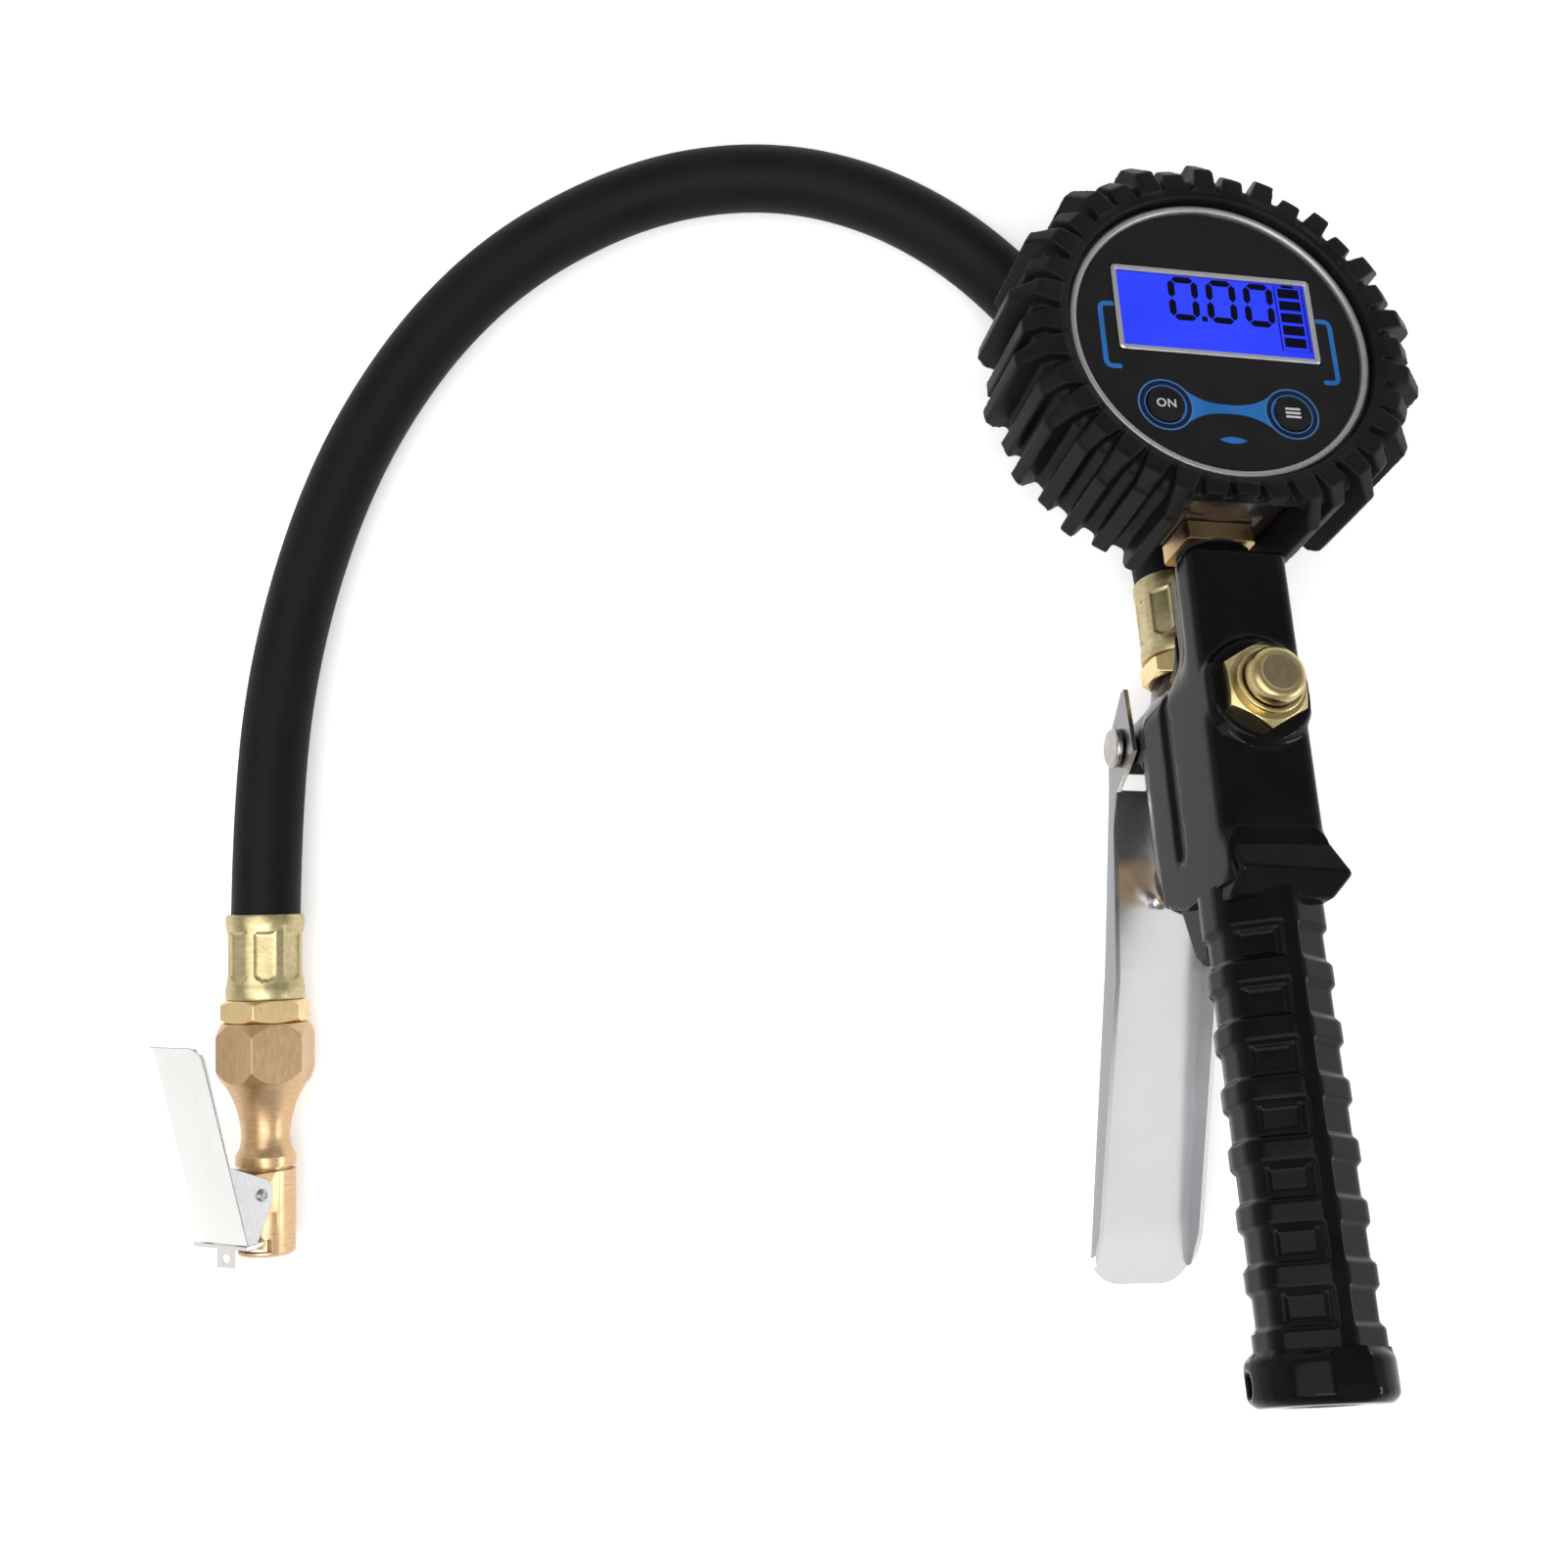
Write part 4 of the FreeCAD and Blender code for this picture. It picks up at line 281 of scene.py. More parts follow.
WHITE_PRINT = plastic("white_print", (0.55, 0.55, 0.56), (0.64, 0.64, 0.65), (0.4, 0.5), gloss=0.1)
DISPLAY = glowing("display_blue", (0.022, 0.045, 0.92), 1.0)
SEGMENT = plastic("display_segment", (0.002, 0.002, 0.012), (0.003, 0.003, 0.018), (0.3, 0.4), gloss=0.05)

# What the CAD nodes wear
for material, nodes in (
    (CASE, ("gauge_case", "battery_cap", "lcd_module")),
    (STEEL, ("battery_cell", "clip_lever", "clip_jaw")),
    (PIN_STEEL, ("pressure_sensor", "lever_pin", "valve_stem", "clip_pin")),
    (BRASS, ("gauge_stem", "valve_nut", "hose_fitting", "chuck_depressor")),
    (NUT_BRASS, ("chuck_fitting",)),
    (CHUCK_BRASS, ("chuck_body",)),
    (GOLD, ("bleed_nut", "bleed_button")),
    (PLATED, ("gun_ferrule", "chuck_ferrule")),
    (SEAL, ("stem_seal", "bleed_seal", "valve_seal", "chuck_seal")),
    (SPRING, ("bleed_spring", "valve_spring", "clip_spring")),
    (RING, ("bezel_ring", "lcd_frame")),
    (FACE_PRINT, ("face_panel",)),
    (BUTTON, ("on_button", "function_button")),
    (BOARD, ("circuit_board",)),
    (DISPLAY, ("lcd_screen",)),
    (CHROME, ("trigger_lever",)),
    (PAINT, ("body_casting",)),
    (BOOT, ("gauge_boot",)),
    (HOSE, ("hose",)),
):
    for node in nodes:
        if not NODES[node].material_slots:
            NODES[node].data.materials.append(material)
        for slot in NODES[node].material_slots:
            slot.material = material


# Pieces: angles in degrees, sizes in millimetres in the frame of a place
SMOOTH_UNDER = 35
BEVEL_OVER = 32
BEVEL_STEPS = 3


def new_object(name, data):
    piece = bpy.data.objects.new(name, data)
    bpy.context.scene.collection.objects.link(piece)
    return piece


def finish_piece(piece, material, body, node=None, smooth=SMOOTH_UNDER, bevel=None):
    """Shade a piece, round its edges, give it its material, attach it to the body it rides on and hide the
    node it replaces.
    """
    piece.data.materials.clear()
    piece.data.materials.append(material)
    for face in piece.data.polygons:
        face.use_smooth = True
    piece.data.set_sharp_from_angle(angle=math.radians(smooth))
    if bevel:
        rounder = piece.modifiers.new("round", "BEVEL")
        rounder.width = bevel * MM
        rounder.segments = BEVEL_STEPS
        rounder.limit_method = "ANGLE"
        rounder.angle_limit = math.radians(BEVEL_OVER)
        rounder.harden_normals = True
    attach(piece, body)
    if node:
        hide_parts(node)
    return piece


def new_piece(name, verts, faces, place, material, body, node=None, slot=None, smooth=SMOOTH_UNDER,
              bevel=None):
    """A piece from points and faces."""
    mesh = bpy.data.meshes.new(name)
    mesh.from_pydata([(x * MM, y * MM, z * MM) for x, y, z in verts], [], faces)
    mesh.update()
    clean = bmesh.new()
    clean.from_mesh(mesh)
    bmesh.ops.remove_doubles(clean, verts=clean.verts, dist=1e-6)
    bmesh.ops.recalc_face_normals(clean, faces=clean.faces)
    clean.to_mesh(mesh)
    clean.free()
    piece = new_object(name, mesh)
    piece.matrix_world = place
    finish_piece(piece, material, body, node, smooth, bevel)


def turned(name, section, segments, place, material, body, node=None, slot=None, smooth=SMOOTH_UNDER,
           bevel=None):
    """A closed section turned about Z; section(angle) gives its (radius, height) points."""
    verts = []
    for step in range(segments):
        angle = 2 * math.pi * step / segments
        verts += [(r * math.cos(angle), r * math.sin(angle), z) for r, z in section(angle)]
    on_axis = [r == 0 for r, _ in section(0)]
    count = len(on_axis)
    faces = []
    for step in range(segments):
        here = step * count
        there = (step + 1) % segments * count
        for index in range(count):
            after = (index + 1) % count
            if not (on_axis[index] and on_axis[after]):
                faces.append((here + index, there + index, there + after, here + after))
    new_piece(name, verts, faces, place, material, body, node, slot, smooth, bevel)


def lathe(name, profile, place, material, body, node=None, slot=None, segments=96, smooth=SMOOTH_UNDER):
    """A closed profile of (radius, height) points turned about Z."""
    turned(name, lambda angle: profile, segments, place, material, body, node, slot, smooth)


def arc(centre, radius, start, stop, steps):
    """Points on an arc."""
    spots = []
    for step in range(steps + 1):
        angle = math.radians(start + (stop - start) * step / steps)
        spots.append((centre[0] + radius * math.cos(angle), centre[1] + radius * math.sin(angle)))
    return spots


NUT_RIM = 0.975
NUT_STEP = 0.12
NUT_SEGMENTS = 120


def hexagon_nut(name, place, material, flats, low, high, bore, bite, node=None, slot="brass", both=True):
    """A hexagon with a corner on Y, its corners cut back by bite at its top or at both ends."""
    corner = flats / math.sqrt(3)
    rim = flats / 2 * NUT_RIM

    def section(angle):
        part = (angle + math.pi / 6) % (math.pi / 3) - math.pi / 6
        side = flats / 2 / math.cos(part)
        drop = bite * (side - flats / 2) / (corner - flats / 2) + NUT_STEP
        foot = [(rim, low), (side, low + drop)] if both else [(side, low), (side, low)]
        return [(bore, low), *foot, (side, high - drop), (rim, high), (bore, high)]

    turned(name, section, NUT_SEGMENTS, place, material, "gun", node, slot, smooth=24, bevel=0.14)


def ease(value, low, high):
    """0 below low, 1 above high and smooth between."""
    part = min(1.0, max(0.0, (value - low) / (high - low)))
    return part * part * (3 - 2 * part)


# Pieces made from a CAD node's own shape
def reshape(shape, place, form):
    """Move the points of a bmesh by form(x, y, z), in the frame of place."""
    back = place.inverted()
    for vert in shape.verts:
        x, y, z = (back @ vert.co) / MM
        vert.co = place @ (Vector(form(x, y, z)) * MM)


def joined_mesh(name, node, extras):
    """A node's mesh with further (points, faces) solids of the gun's frame."""
    joined = bmesh.new()
    joined.from_mesh(NODES[node].data)
    for verts, faces in extras:
        corners = [joined.verts.new(GUN @ Vector((x * MM, y * MM, z * MM))) for x, y, z in verts]
        for face in faces:
            joined.faces.new([corners[index] for index in face])
    bmesh.ops.remove_doubles(joined, verts=joined.verts, dist=1e-7)
    bmesh.ops.recalc_face_normals(joined, faces=joined.faces)
    mesh = bpy.data.meshes.new(name)
    joined.to_mesh(mesh)
    joined.free()
    return mesh


def voxel_mesh(rough, voxel):
    """One closed skin round a mesh's solids."""
    shape = new_object(rough.name, rough)
    skin = shape.modifiers.new("skin", "REMESH")
    skin.mode = "VOXEL"
    skin.voxel_size = voxel * MM
    mesh = bpy.data.meshes.new_from_object(shape.evaluated_get(bpy.context.evaluated_depsgraph_get()))
    bpy.data.objects.remove(shape)
    return mesh


def kept_between(source, low, high):
    """A mesh of what lies between two heights of the gun, closed where it is cut."""
    part = source.copy()
    up = GUN.to_3x3() @ Vector((0, 0, 1))
    for height, below in ((low, True), (high, False)):
        if height is None:
            continue
        everything = part.verts[:] + part.edges[:] + part.faces[:]
        bmesh.ops.bisect_plane(part, geom=everything, plane_co=GUN @ Vector((0, 0, height * MM)),
                               plane_no=up, clear_inner=below, clear_outer=not below)
        rim = [edge for edge in part.edges if edge.is_boundary]
        bmesh.ops.triangle_fill(part, edges=rim, use_beauty=True)
    mesh = bpy.data.meshes.new("part")
    part.to_mesh(mesh)
    part.free()
    return mesh


def skin_copy(node, name, material, voxel, smoothing, extras=(), form=None, ranges=()):
    """A soft-edged skin over a solid of the gun, its corners rounded as moulded or painted.

    Extras are solids to join to it, form(x, y, z) moves its points, and ranges are the heights to keep.
    """
    mesh = voxel_mesh(joined_mesh(name + "_rough", node, extras), voxel)
    mesh.name = name
    soft = bmesh.new()
    soft.from_mesh(mesh)
    if form:
        reshape(soft, GUN, form)
    for _ in range(smoothing):
        bmesh.ops.smooth_vert(soft, verts=soft.verts, factor=0.5, use_axis_x=True, use_axis_y=True,
                              use_axis_z=True)
    parts = [kept_between(soft, low, high) for low, high in ranges]
    if parts:
        soft.clear()
    for part in parts:
        soft.from_mesh(part)
        bpy.data.meshes.remove(part)
    soft.to_mesh(mesh)
    soft.free()
    finish_piece(new_object(name, mesh), material, "gun", node, smooth=60)


def crisp_copy(node, name, material, body, bevel, place=None, form=None):
    """A machined or folded piece: a solid's own shape with its edges slightly broken.

    form(x, y, z) moves its corners, in the frame of place.
    """
    piece = new_object(name, NODES[node].data.copy())
    clean = bmesh.new()
    clean.from_mesh(piece.data)
    bmesh.ops.remove_doubles(clean, verts=clean.verts, dist=2e-7)
    bmesh.ops.dissolve_limit(clean, angle_limit=math.radians(0.6), verts=clean.verts, edges=clean.edges)
    bmesh.ops.recalc_face_normals(clean, faces=clean.faces)
    if form:
        reshape(clean, place, form)
    clean.to_mesh(piece.data)
    clean.free()
    return finish_piece(piece, material, body, node, smooth=30, bevel=bevel)


def second_face(piece, material, place, chosen):
    """Give the faces that chosen(centre, normal) picks, in the frame of place, another material."""
    back = place.inverted()
    piece.data.materials.append(material)
    for face in piece.data.polygons:
        if chosen((back @ face.center) / MM, back.to_3x3() @ face.normal):
            face.material_index = len(piece.data.materials) - 1


def painted_dark_folds(piece, material):
    """Give the rounded edges of a sheet another material, a painted dark reflection along its folds."""
    piece.data.materials.append(material)
    piece.modifiers["round"].material = len(piece.data.materials) - 1


# Outlines, stripes and tubes
def prism(outline, half):
    """Points and faces of an outline in Y and Z that reaches half to each side along X."""
    count = len(outline)
    verts = [(x, y, z) for x in (-half, half) for y, z in outline]
    faces = [tuple(range(count)), tuple(range(2 * count - 1, count - 1, -1))]
    faces += [(i, (i + 1) % count, count + (i + 1) % count, count + i) for i in range(count)]
    return verts, faces


def round_corners(path, radii, steps=5):
    """A path of straight runs with its inner corners rounded, each by its own radius."""
    spots = [path[0]]
    for before, corner, after, radius in zip(path, path[1:], path[2:], radii):
        here = Vector(corner)
        into = (here - Vector(before)).normalized()
        out = (Vector(after) - here).normalized()
        start = here - into * radius
        stop = here + out * radius
        for step in range(steps + 1):
            t = step / steps
            spots.append(tuple(start * (1 - t) ** 2 + here * 2 * t * (1 - t) + stop * t ** 2))
    spots.append(path[-1])
    return spots


def round_ends(path, half, steps=4):
    """The path with more points near each end, and half widths that round its ends."""
    spots = [Vector(spot) for spot in path]
    halves = [half] * len(spots)
    for _ in range(2):
        along = (spots[1] - spots[0]).normalized()
        cap = []
        for step in range(steps):
            angle = math.pi / 2 * step / steps
            cap.append((spots[0] - along * half * math.cos(angle), half * math.sin(angle)))
        spots = [spot for spot, _ in cap] + spots
        halves = [width for _, width in cap] + halves
        spots.reverse()
        halves.reverse()
    return [tuple(spot) for spot in spots], halves


def evenly(path, step):
    """Points about a step apart along a closed path."""
    spots = [Vector(spot) for spot in path]
    runs = [(b - a).length for a, b in zip(spots, spots[1:] + spots[:1])]
    count = round(sum(runs) / step)
    made = []
    index = 0
    passed = 0.0
    for number in range(count):
        along = sum(runs) * number / count
        while passed + runs[index] < along:
            passed += runs[index]
            index += 1
        after = spots[(index + 1) % len(spots)]
        made.append(spots[index].lerp(after, (along - passed) / max(runs[index], 1e-9)))
    return made


def band(name, path, half, low, high, place, material, body, slot, closed=False):
    """A flat stripe along a path in a plane; half is its half width, one for all or one a point."""
    count = len(path)
    halves = half if isinstance(half, list) else [half] * count
    verts = []
    for index, (x, y) in enumerate(path):
        before = path[index - 1] if index or closed else path[index]
        after = path[(index + 1) % count] if index < count - 1 or closed else path[index]
        along = Vector((after[0] - before[0], after[1] - before[1])).normalized()
        side = Vector((-along.y, along.x)) * halves[index]
        for level in (low, high):
            verts.append((x + side.x, y + side.y, level))
            verts.append((x - side.x, y - side.y, level))
    faces = []
    for index in range(count if closed else count - 1):
        here = index * 4
        there = (index + 1) % count * 4
        for first, second in ((0, 1), (1, 3), (3, 2), (2, 0)):
            faces.append((here + first, there + first, there + second, here + second))
    if not closed:
        faces += [(0, 1, 3, 2), (count * 4 - 4, count * 4 - 3, count * 4 - 1, count * 4 - 2)]
    new_piece(name, verts, faces, place, material, body, slot=slot)


def tube_curve(name, points, radius, steps, round_steps):
    """A round tube on a smooth line drawn by its points."""
    curve = bpy.data.curves.new(name, "CURVE")
    curve.dimensions = "3D"
    line = curve.splines.new("NURBS")
    line.points.add(len(points) - 1)
    for point, spot in zip(line.points, points):
        point.co = (*(c * MM for c in spot), 1)
    line.order_u = 3
    line.use_endpoint_u = True
    line.resolution_u = steps
    curve.bevel_depth = radius * MM
    curve.bevel_resolution = round_steps
    curve.use_fill_caps = True
    return curve


def curve_piece(name, curve, place, material, body, smooth=SMOOTH_UNDER):
    """A mesh piece made from a curve or text."""
    shape = new_object(name + "_line", curve)
    mesh = bpy.data.meshes.new_from_object(shape)
    bpy.data.objects.remove(shape)
    piece = new_object(name, mesh)
    piece.matrix_world = place
    finish_piece(piece, material, body, None, smooth)


# Casting above the grip and its collar below, with a fillet where the web meets the housing
TUBE_BACK = 8.0
HOUSING_BACK = 18.0
BODY_HALF = 9.8
BODY_FRONT = 11.7
WEB_TOP = 129.5
FILLET = 10
GUARD_TOP = 95.5
CUT_LOW = 8.6
CUT_HIGH = 85.2
TUBE_LOW = 100
TUBE_HIGH = 140
SLIM_FROM = 124
SLIM_FULL = 134
SLIM_FRONT = -6
SLIM_MIDDLE = 1
SLIMMING = 0.20
BOSS_FROM = 11.6
BOSS_FULL = 12.2
BOSS_INNER = 7.8
BOSS_OUTER = 9.0
BOSS_SHRINK = 0.07


def casting_form(x, y, z):
    """Slims the tube behind and the boss in front, and clears the place of thumb_guard."""
    if TUBE_LOW < z < TUBE_HIGH and y < TUBE_BACK:
        x = min(BODY_HALF, max(-BODY_HALF, x))
    slimming = SLIMMING * ease(y, SLIM_FRONT, SLIM_MIDDLE) + SLIMMING * ease(y, SLIM_MIDDLE, TUBE_BACK)
    x *= 1 - ease(z, SLIM_FROM, SLIM_FULL) * slimming
    away = math.hypot(x, z - BLEED_HEIGHT)
    boss = ease(-y, BOSS_FROM, BOSS_FULL) * ease(away, BOSS_INNER, BOSS_OUTER)
    x *= 1 - BOSS_SHRINK * boss
    height = BLEED_HEIGHT + (z - BLEED_HEIGHT) * (1 - BOSS_SHRINK * boss)
    if z < GUARD_TOP:
        y = max(y, -BODY_FRONT)
    return x, y, height


def casting():
    fillet = [(TUBE_BACK - 1, WEB_TOP - 1), (HOUSING_BACK, WEB_TOP - 1)]
    fillet += arc((HOUSING_BACK, WEB_TOP + FILLET), FILLET, 270, 180, 8)
    fillet += [(TUBE_BACK - 1, WEB_TOP + FILLET)]
    skin_copy("body_casting", "casting", PAINT, voxel=0.4, smoothing=8,
              extras=[prism(fillet, BODY_HALF - 0.1)], form=casting_form,
              ranges=[(None, CUT_LOW), (CUT_HIGH, None)])


def painted(name, verts, faces, **finish):
    new_piece(name, verts, faces, GUN, PAINT, "gun", slot="black_casting", **finish)


def thumb_guard():
    """A wedge above the grip with a sharp crest that runs out to a point on the right."""
    verts = [(-9.6, -10.6, 93.6), (9.5, -11.0, 93.0), (-8.4, -13.6, 86.6), (11.8, -14.4, 85.6),
             (-9.4, -9.0, 82.2), (9.6, -9.6, 82.2), (-9.6, -2, 93.6), (9.5, -2, 93.0),
             (-9.6, -2, 86.6), (9.7, -2, 85.6), (-9.6, -2, 82.2), (9.6, -2, 82.2)]
    faces = [(0, 2, 3, 1), (2, 4, 5, 3), (0, 1, 7, 6), (4, 10, 11, 5), (1, 3, 9, 7), (3, 5, 11, 9),
             (0, 6, 8, 2), (2, 8, 10, 4), (6, 7, 9, 11, 10, 8)]
    painted("thumb_guard", verts, faces, bevel=1.0)


def web_foot():
    """Where the housing runs out along the grip."""
    foot = [(3, 88), (14.6, 88.6), (13.0, 85), (9.6, 76), (7.4, 74.4), (3, 74.4)]
    painted("web_foot", *prism(foot, 8.7), bevel=1.5)


casting()
thumb_guard()
web_foot()

# Grip: a rounded section with a ridge in front, ribs across it and sunk panels on its left
GRIP_LOW = 6.0
GRIP_HIGH = 85.6
GRIP_ROWS = 270
GRIP_STEP = 0.3
GRIP_RADIUS = 10.26
GRIP_CORNER = 6.05
GRIP_RIDGE = 11.45
RIDGE_HALF = 1.3
RIDGE_EDGE = 0.8
RIDGE_FRONT = -8
RIDGE_ROUND = 0.9
SIDE_ROUND = 2.8
RIB_DEPTH = 0.85
RIB_TOP = 1.5
RIB_FOOT = 2.8
RIB_PITCH = 10.0
RIB_FIRST = 9.8
RIB_COUNT = 8
PANEL_DEPTH = 0.42
PANEL_NEAR = 2.5
PANEL_FAR = 8.4
PANEL_EDGE = 0.5
PANEL_FLOOR = 1.75
PANEL_END = 2.2


def rib_at(z):
    """1 on a rib and 0 between ribs, with round shoulders, and the distance from a gap's middle."""
    number = min(RIB_COUNT - 1, max(0, round((z - RIB_FIRST) / RIB_PITCH)))
    away = z - (RIB_FIRST + number * RIB_PITCH)
    if (number == 0 and away < 0) or (number == RIB_COUNT - 1 and away > 0):
        return 1.0, RIB_PITCH
    return 1 - ease(abs(away), RIB_TOP, RIB_FOOT), RIB_PITCH / 2 - abs(away)


def grip_depth(x, y, z):
    """How far the grip's surface is sunk below its outline."""
    rib, middle = rib_at(z)
    ridge = 1 - ease(abs(x), RIDGE_HALF, RIDGE_HALF + RIDGE_EDGE) if y < RIDGE_FRONT else 0.0
    depth = RIB_DEPTH * (1 - rib) * (1 - ridge)
    if y < -GRIP_CORNER and x < 0:
        across = ease(-x, PANEL_NEAR, PANEL_NEAR + PANEL_EDGE)
        across *= 1 - ease(-x, PANEL_FAR - PANEL_EDGE, PANEL_FAR)
        depth += PANEL_DEPTH * across * (1 - ease(middle, PANEL_FLOOR, PANEL_END))
    return depth


def grip():
    front = [(-GRIP_RADIUS, 0), (-GRIP_RADIUS, -GRIP_CORNER), (-RIDGE_HALF, -GRIP_RIDGE),
             (RIDGE_HALF, -GRIP_RIDGE), (GRIP_RADIUS, -GRIP_CORNER), (GRIP_RADIUS, 0)]
    radii = [SIDE_ROUND, RIDGE_ROUND, RIDGE_ROUND, SIDE_ROUND]
    outline = arc((0, 0), GRIP_RADIUS, 0, 180, 48) + round_corners(front, radii, 8)[1:-1]
    spots = evenly(outline, GRIP_STEP)
    count = len(spots)
    outward = []
    for index in range(count):
        along = (spots[(index + 1) % count] - spots[index - 1]).normalized()
        outward.append(Vector((along.y, -along.x)))
    verts = []
    for row in range(GRIP_ROWS):
        z = GRIP_LOW + (GRIP_HIGH - GRIP_LOW) * row / (GRIP_ROWS - 1)
        for spot, out in zip(spots, outward):
            depth = grip_depth(spot.x, spot.y, z)
            verts.append((spot.x - out.x * depth, spot.y - out.y * depth, z))
    faces = [tuple(range(count)), tuple(range((GRIP_ROWS - 1) * count, GRIP_ROWS * count))]
    for row in range(GRIP_ROWS - 1):
        here = row * count
        for index in range(count):
            after = (index + 1) % count
            faces.append((here + index, here + after, here + count + after, here + count + index))
    painted("grip", verts, faces, smooth=60)


grip()
skin_copy("gauge_boot", "boot", BOOT, voxel=0.36, smoothing=3)

# Inlet's thread, cut in the casting's port
INLET_RADIUS = 5.55
THREAD_LOW = 0.4
THREAD_HIGH = 12
THREAD_PITCH = 0.94
THREAD_DEPTH = 0.55
THREAD_FLANK = 0.42


def inlet_thread():
    crest = INLET_RADIUS - 0.02
    outside = INLET_RADIUS + 0.1
    profile = []
    height = THREAD_LOW
    while height < THREAD_HIGH:
        profile += [(crest, height), (INLET_RADIUS - THREAD_DEPTH, height + THREAD_FLANK)]
        height += THREAD_PITCH
    profile += [(crest, height), (outside, height), (outside, THREAD_LOW)]
    lathe("inlet_thread", profile, GUN, PAINT, "gun", slot="black_casting", segments=48, smooth=20)


inlet_thread()

# Gauge's ring, panel and display
RING_OUT = 30.1
RING_IN = 28.5
RING_LOW = -2.4
RING_ROUND = -0.62
ring_top = arc(((RING_OUT + RING_IN) / 2, RING_ROUND), (RING_OUT - RING_IN) / 2, 0, 180, 8)
lathe("ring", [(RING_OUT, RING_LOW)] + ring_top + [(RING_IN, RING_LOW)], FACE, RING, "gun", "bezel_ring",
      "silver_plastic", 160)
crisp_copy("face_panel", "panel", FACE_PRINT, "gun", 0.12)

LCD_HALF = 20.3
LCD_TALL = 9.4
LCD_MIDDLE = 5.8
LCD_BAR = 1.1


def lcd_rim():
    """The display's frame: four bars with rounded tops and small round corners."""
    section = [(0.0, -2.3), (0.0, -0.85), (0.25, -0.6), (0.85, -0.6), (LCD_BAR, -0.95), (LCD_BAR, -2.3)]
    steps = 5
    verts = []
    for inward, z in section:
        radius = 0.9 - inward * 0.7
        x = LCD_HALF - inward - radius
        y = LCD_TALL - inward - radius
        for cx, cy, start in ((x, y, 0), (-x, y, 90), (-x, -y, 180), (x, -y, 270)):
            for px, py in arc((cx, cy + LCD_MIDDLE), radius, start, start + 90, steps):
                verts.append((px, py, z))
    count = 4 * (steps + 1)
    rows = len(section)
    faces = []
    for row in range(rows):
        here = row * count
        there = (row + 1) % rows * count
        for index in range(count):
            after = (index + 1) % count
            faces.append((here + index, here + after, there + after, there + index))
    new_piece("lcd_rim", verts, faces, FACE, LCD_RIM, "gun", "lcd_frame", "silver_plastic")


lcd_rim()
crisp_copy("lcd_screen", "display", DISPLAY, "gun", None)

# Signs on the display
SCREEN_TOP = -1.3
DIGIT_FIRST = -6.1
DIGIT_BASE = 4.75
DIGIT_PITCH = 7.7
DIGIT_WIDE = 4.7
DIGIT_TALL = 8.4
DIGIT_LEAN = 0.03
SEGMENT_HALF = 0.68
SEGMENT_POINT = 0.08
SEGMENT_GAP = 0.22
LEVEL_MIDDLE = 15.9
LEVEL_TOP = 12.2
LEVEL_PITCH = 2.78
LEVEL_REACH = 2.2
OUTLINE_REACH = 2.85
OUTLINE_LOW = -0.8
OUTLINE_HIGH = 13.7


def on_screen(name, path, half, closed=False):
    band(name, path, half, SCREEN_TOP - 0.02, SCREEN_TOP + 0.03, FACE, SEGMENT, "gun", "display_blue",
         closed)


def level_line(name, y, reach, half):
    on_screen(name, [(LEVEL_MIDDLE - reach, y), (LEVEL_MIDDLE + reach, y)], half)


def segment(name, start, stop):
    """One bar of a digit, pointed at both ends."""
    a, b = Vector(start), Vector(stop)
    along = (b - a).normalized()
    shoulder = SEGMENT_GAP + SEGMENT_HALF
    path = [a + along * SEGMENT_GAP, a + along * shoulder, b - along * shoulder, b - along * SEGMENT_GAP]
    on_screen(name, [tuple(p) for p in path], [SEGMENT_POINT, SEGMENT_HALF, SEGMENT_HALF, SEGMENT_POINT])


def digit_zero(name, middle):
    """The six segments of a nought."""
    wide = DIGIT_WIDE / 2
    half = DIGIT_TALL / 2

    def spot(x, y):
        return (middle + x + y * DIGIT_LEAN, DIGIT_BASE + y)

    sides = (((-wide, 0), (wide, 0)), ((-wide, DIGIT_TALL), (wide, DIGIT_TALL)),
             ((-wide, 0), (-wide, half)), ((-wide, half), (-wide, DIGIT_TALL)),
             ((wide, 0), (wide, half)), ((wide, half), (wide, DIGIT_TALL)))
    for index, (start, stop) in enumerate(sides):
        segment(f"{name}_{index}", spot(*start), spot(*stop))


def level_sign():
    """The column of bars at the display's right, in its outline with a cap."""
    for index in range(5):
        level_line(f"level_bar_{index}", LEVEL_TOP - index * LEVEL_PITCH, LEVEL_REACH, 1.05)
    left = LEVEL_MIDDLE - OUTLINE_REACH
    right = LEVEL_MIDDLE + OUTLINE_REACH
    outline = [(left, OUTLINE_LOW), (right, OUTLINE_LOW), (right, OUTLINE_HIGH), (left, OUTLINE_HIGH)]
    on_screen("level_frame", outline, 0.12, closed=True)
    level_line("level_cap", OUTLINE_HIGH + 0.05, 1.2, 0.28)


for index in range(3):
    digit_zero(f"digit_{index}", DIGIT_FIRST + DIGIT_PITCH * index)
on_screen("decimal_point", [(-2.75, DIGIT_BASE), (-1.65, DIGIT_BASE)], 0.55)
level_sign()

# Print on the panel
PRINT_LOW = -1.02
PRINT_HIGH = -0.955
BUTTON_SIDE = 12.6
BUTTON_LOW = 15.1
WAIST_REACH = 9.8
WAIST_HALF = 0.95
WAIST_FLARE = 3.75
MARK_REACH = 2.7
MARK_HALF = 0.67
MARK_LOW = -21.7


def printed(name, path, half, material=BLUE_PRINT, rise=0.0, closed=False):
    band(name, path, half, PRINT_LOW, PRINT_HIGH + rise, FACE, material, "gun", "face_print", closed)


def bracket(name, side):
    """A line beside the display with its ends turned in."""
    corners = [(side * 20.9, 6.2), (side * 23.3, 6.2), (side * 23.3, -7.5), (side * 20.7, -7.5)]
    path, halves = round_ends(round_corners(corners, [1.3, 1.3]), 0.5)
    printed(name, path, halves)


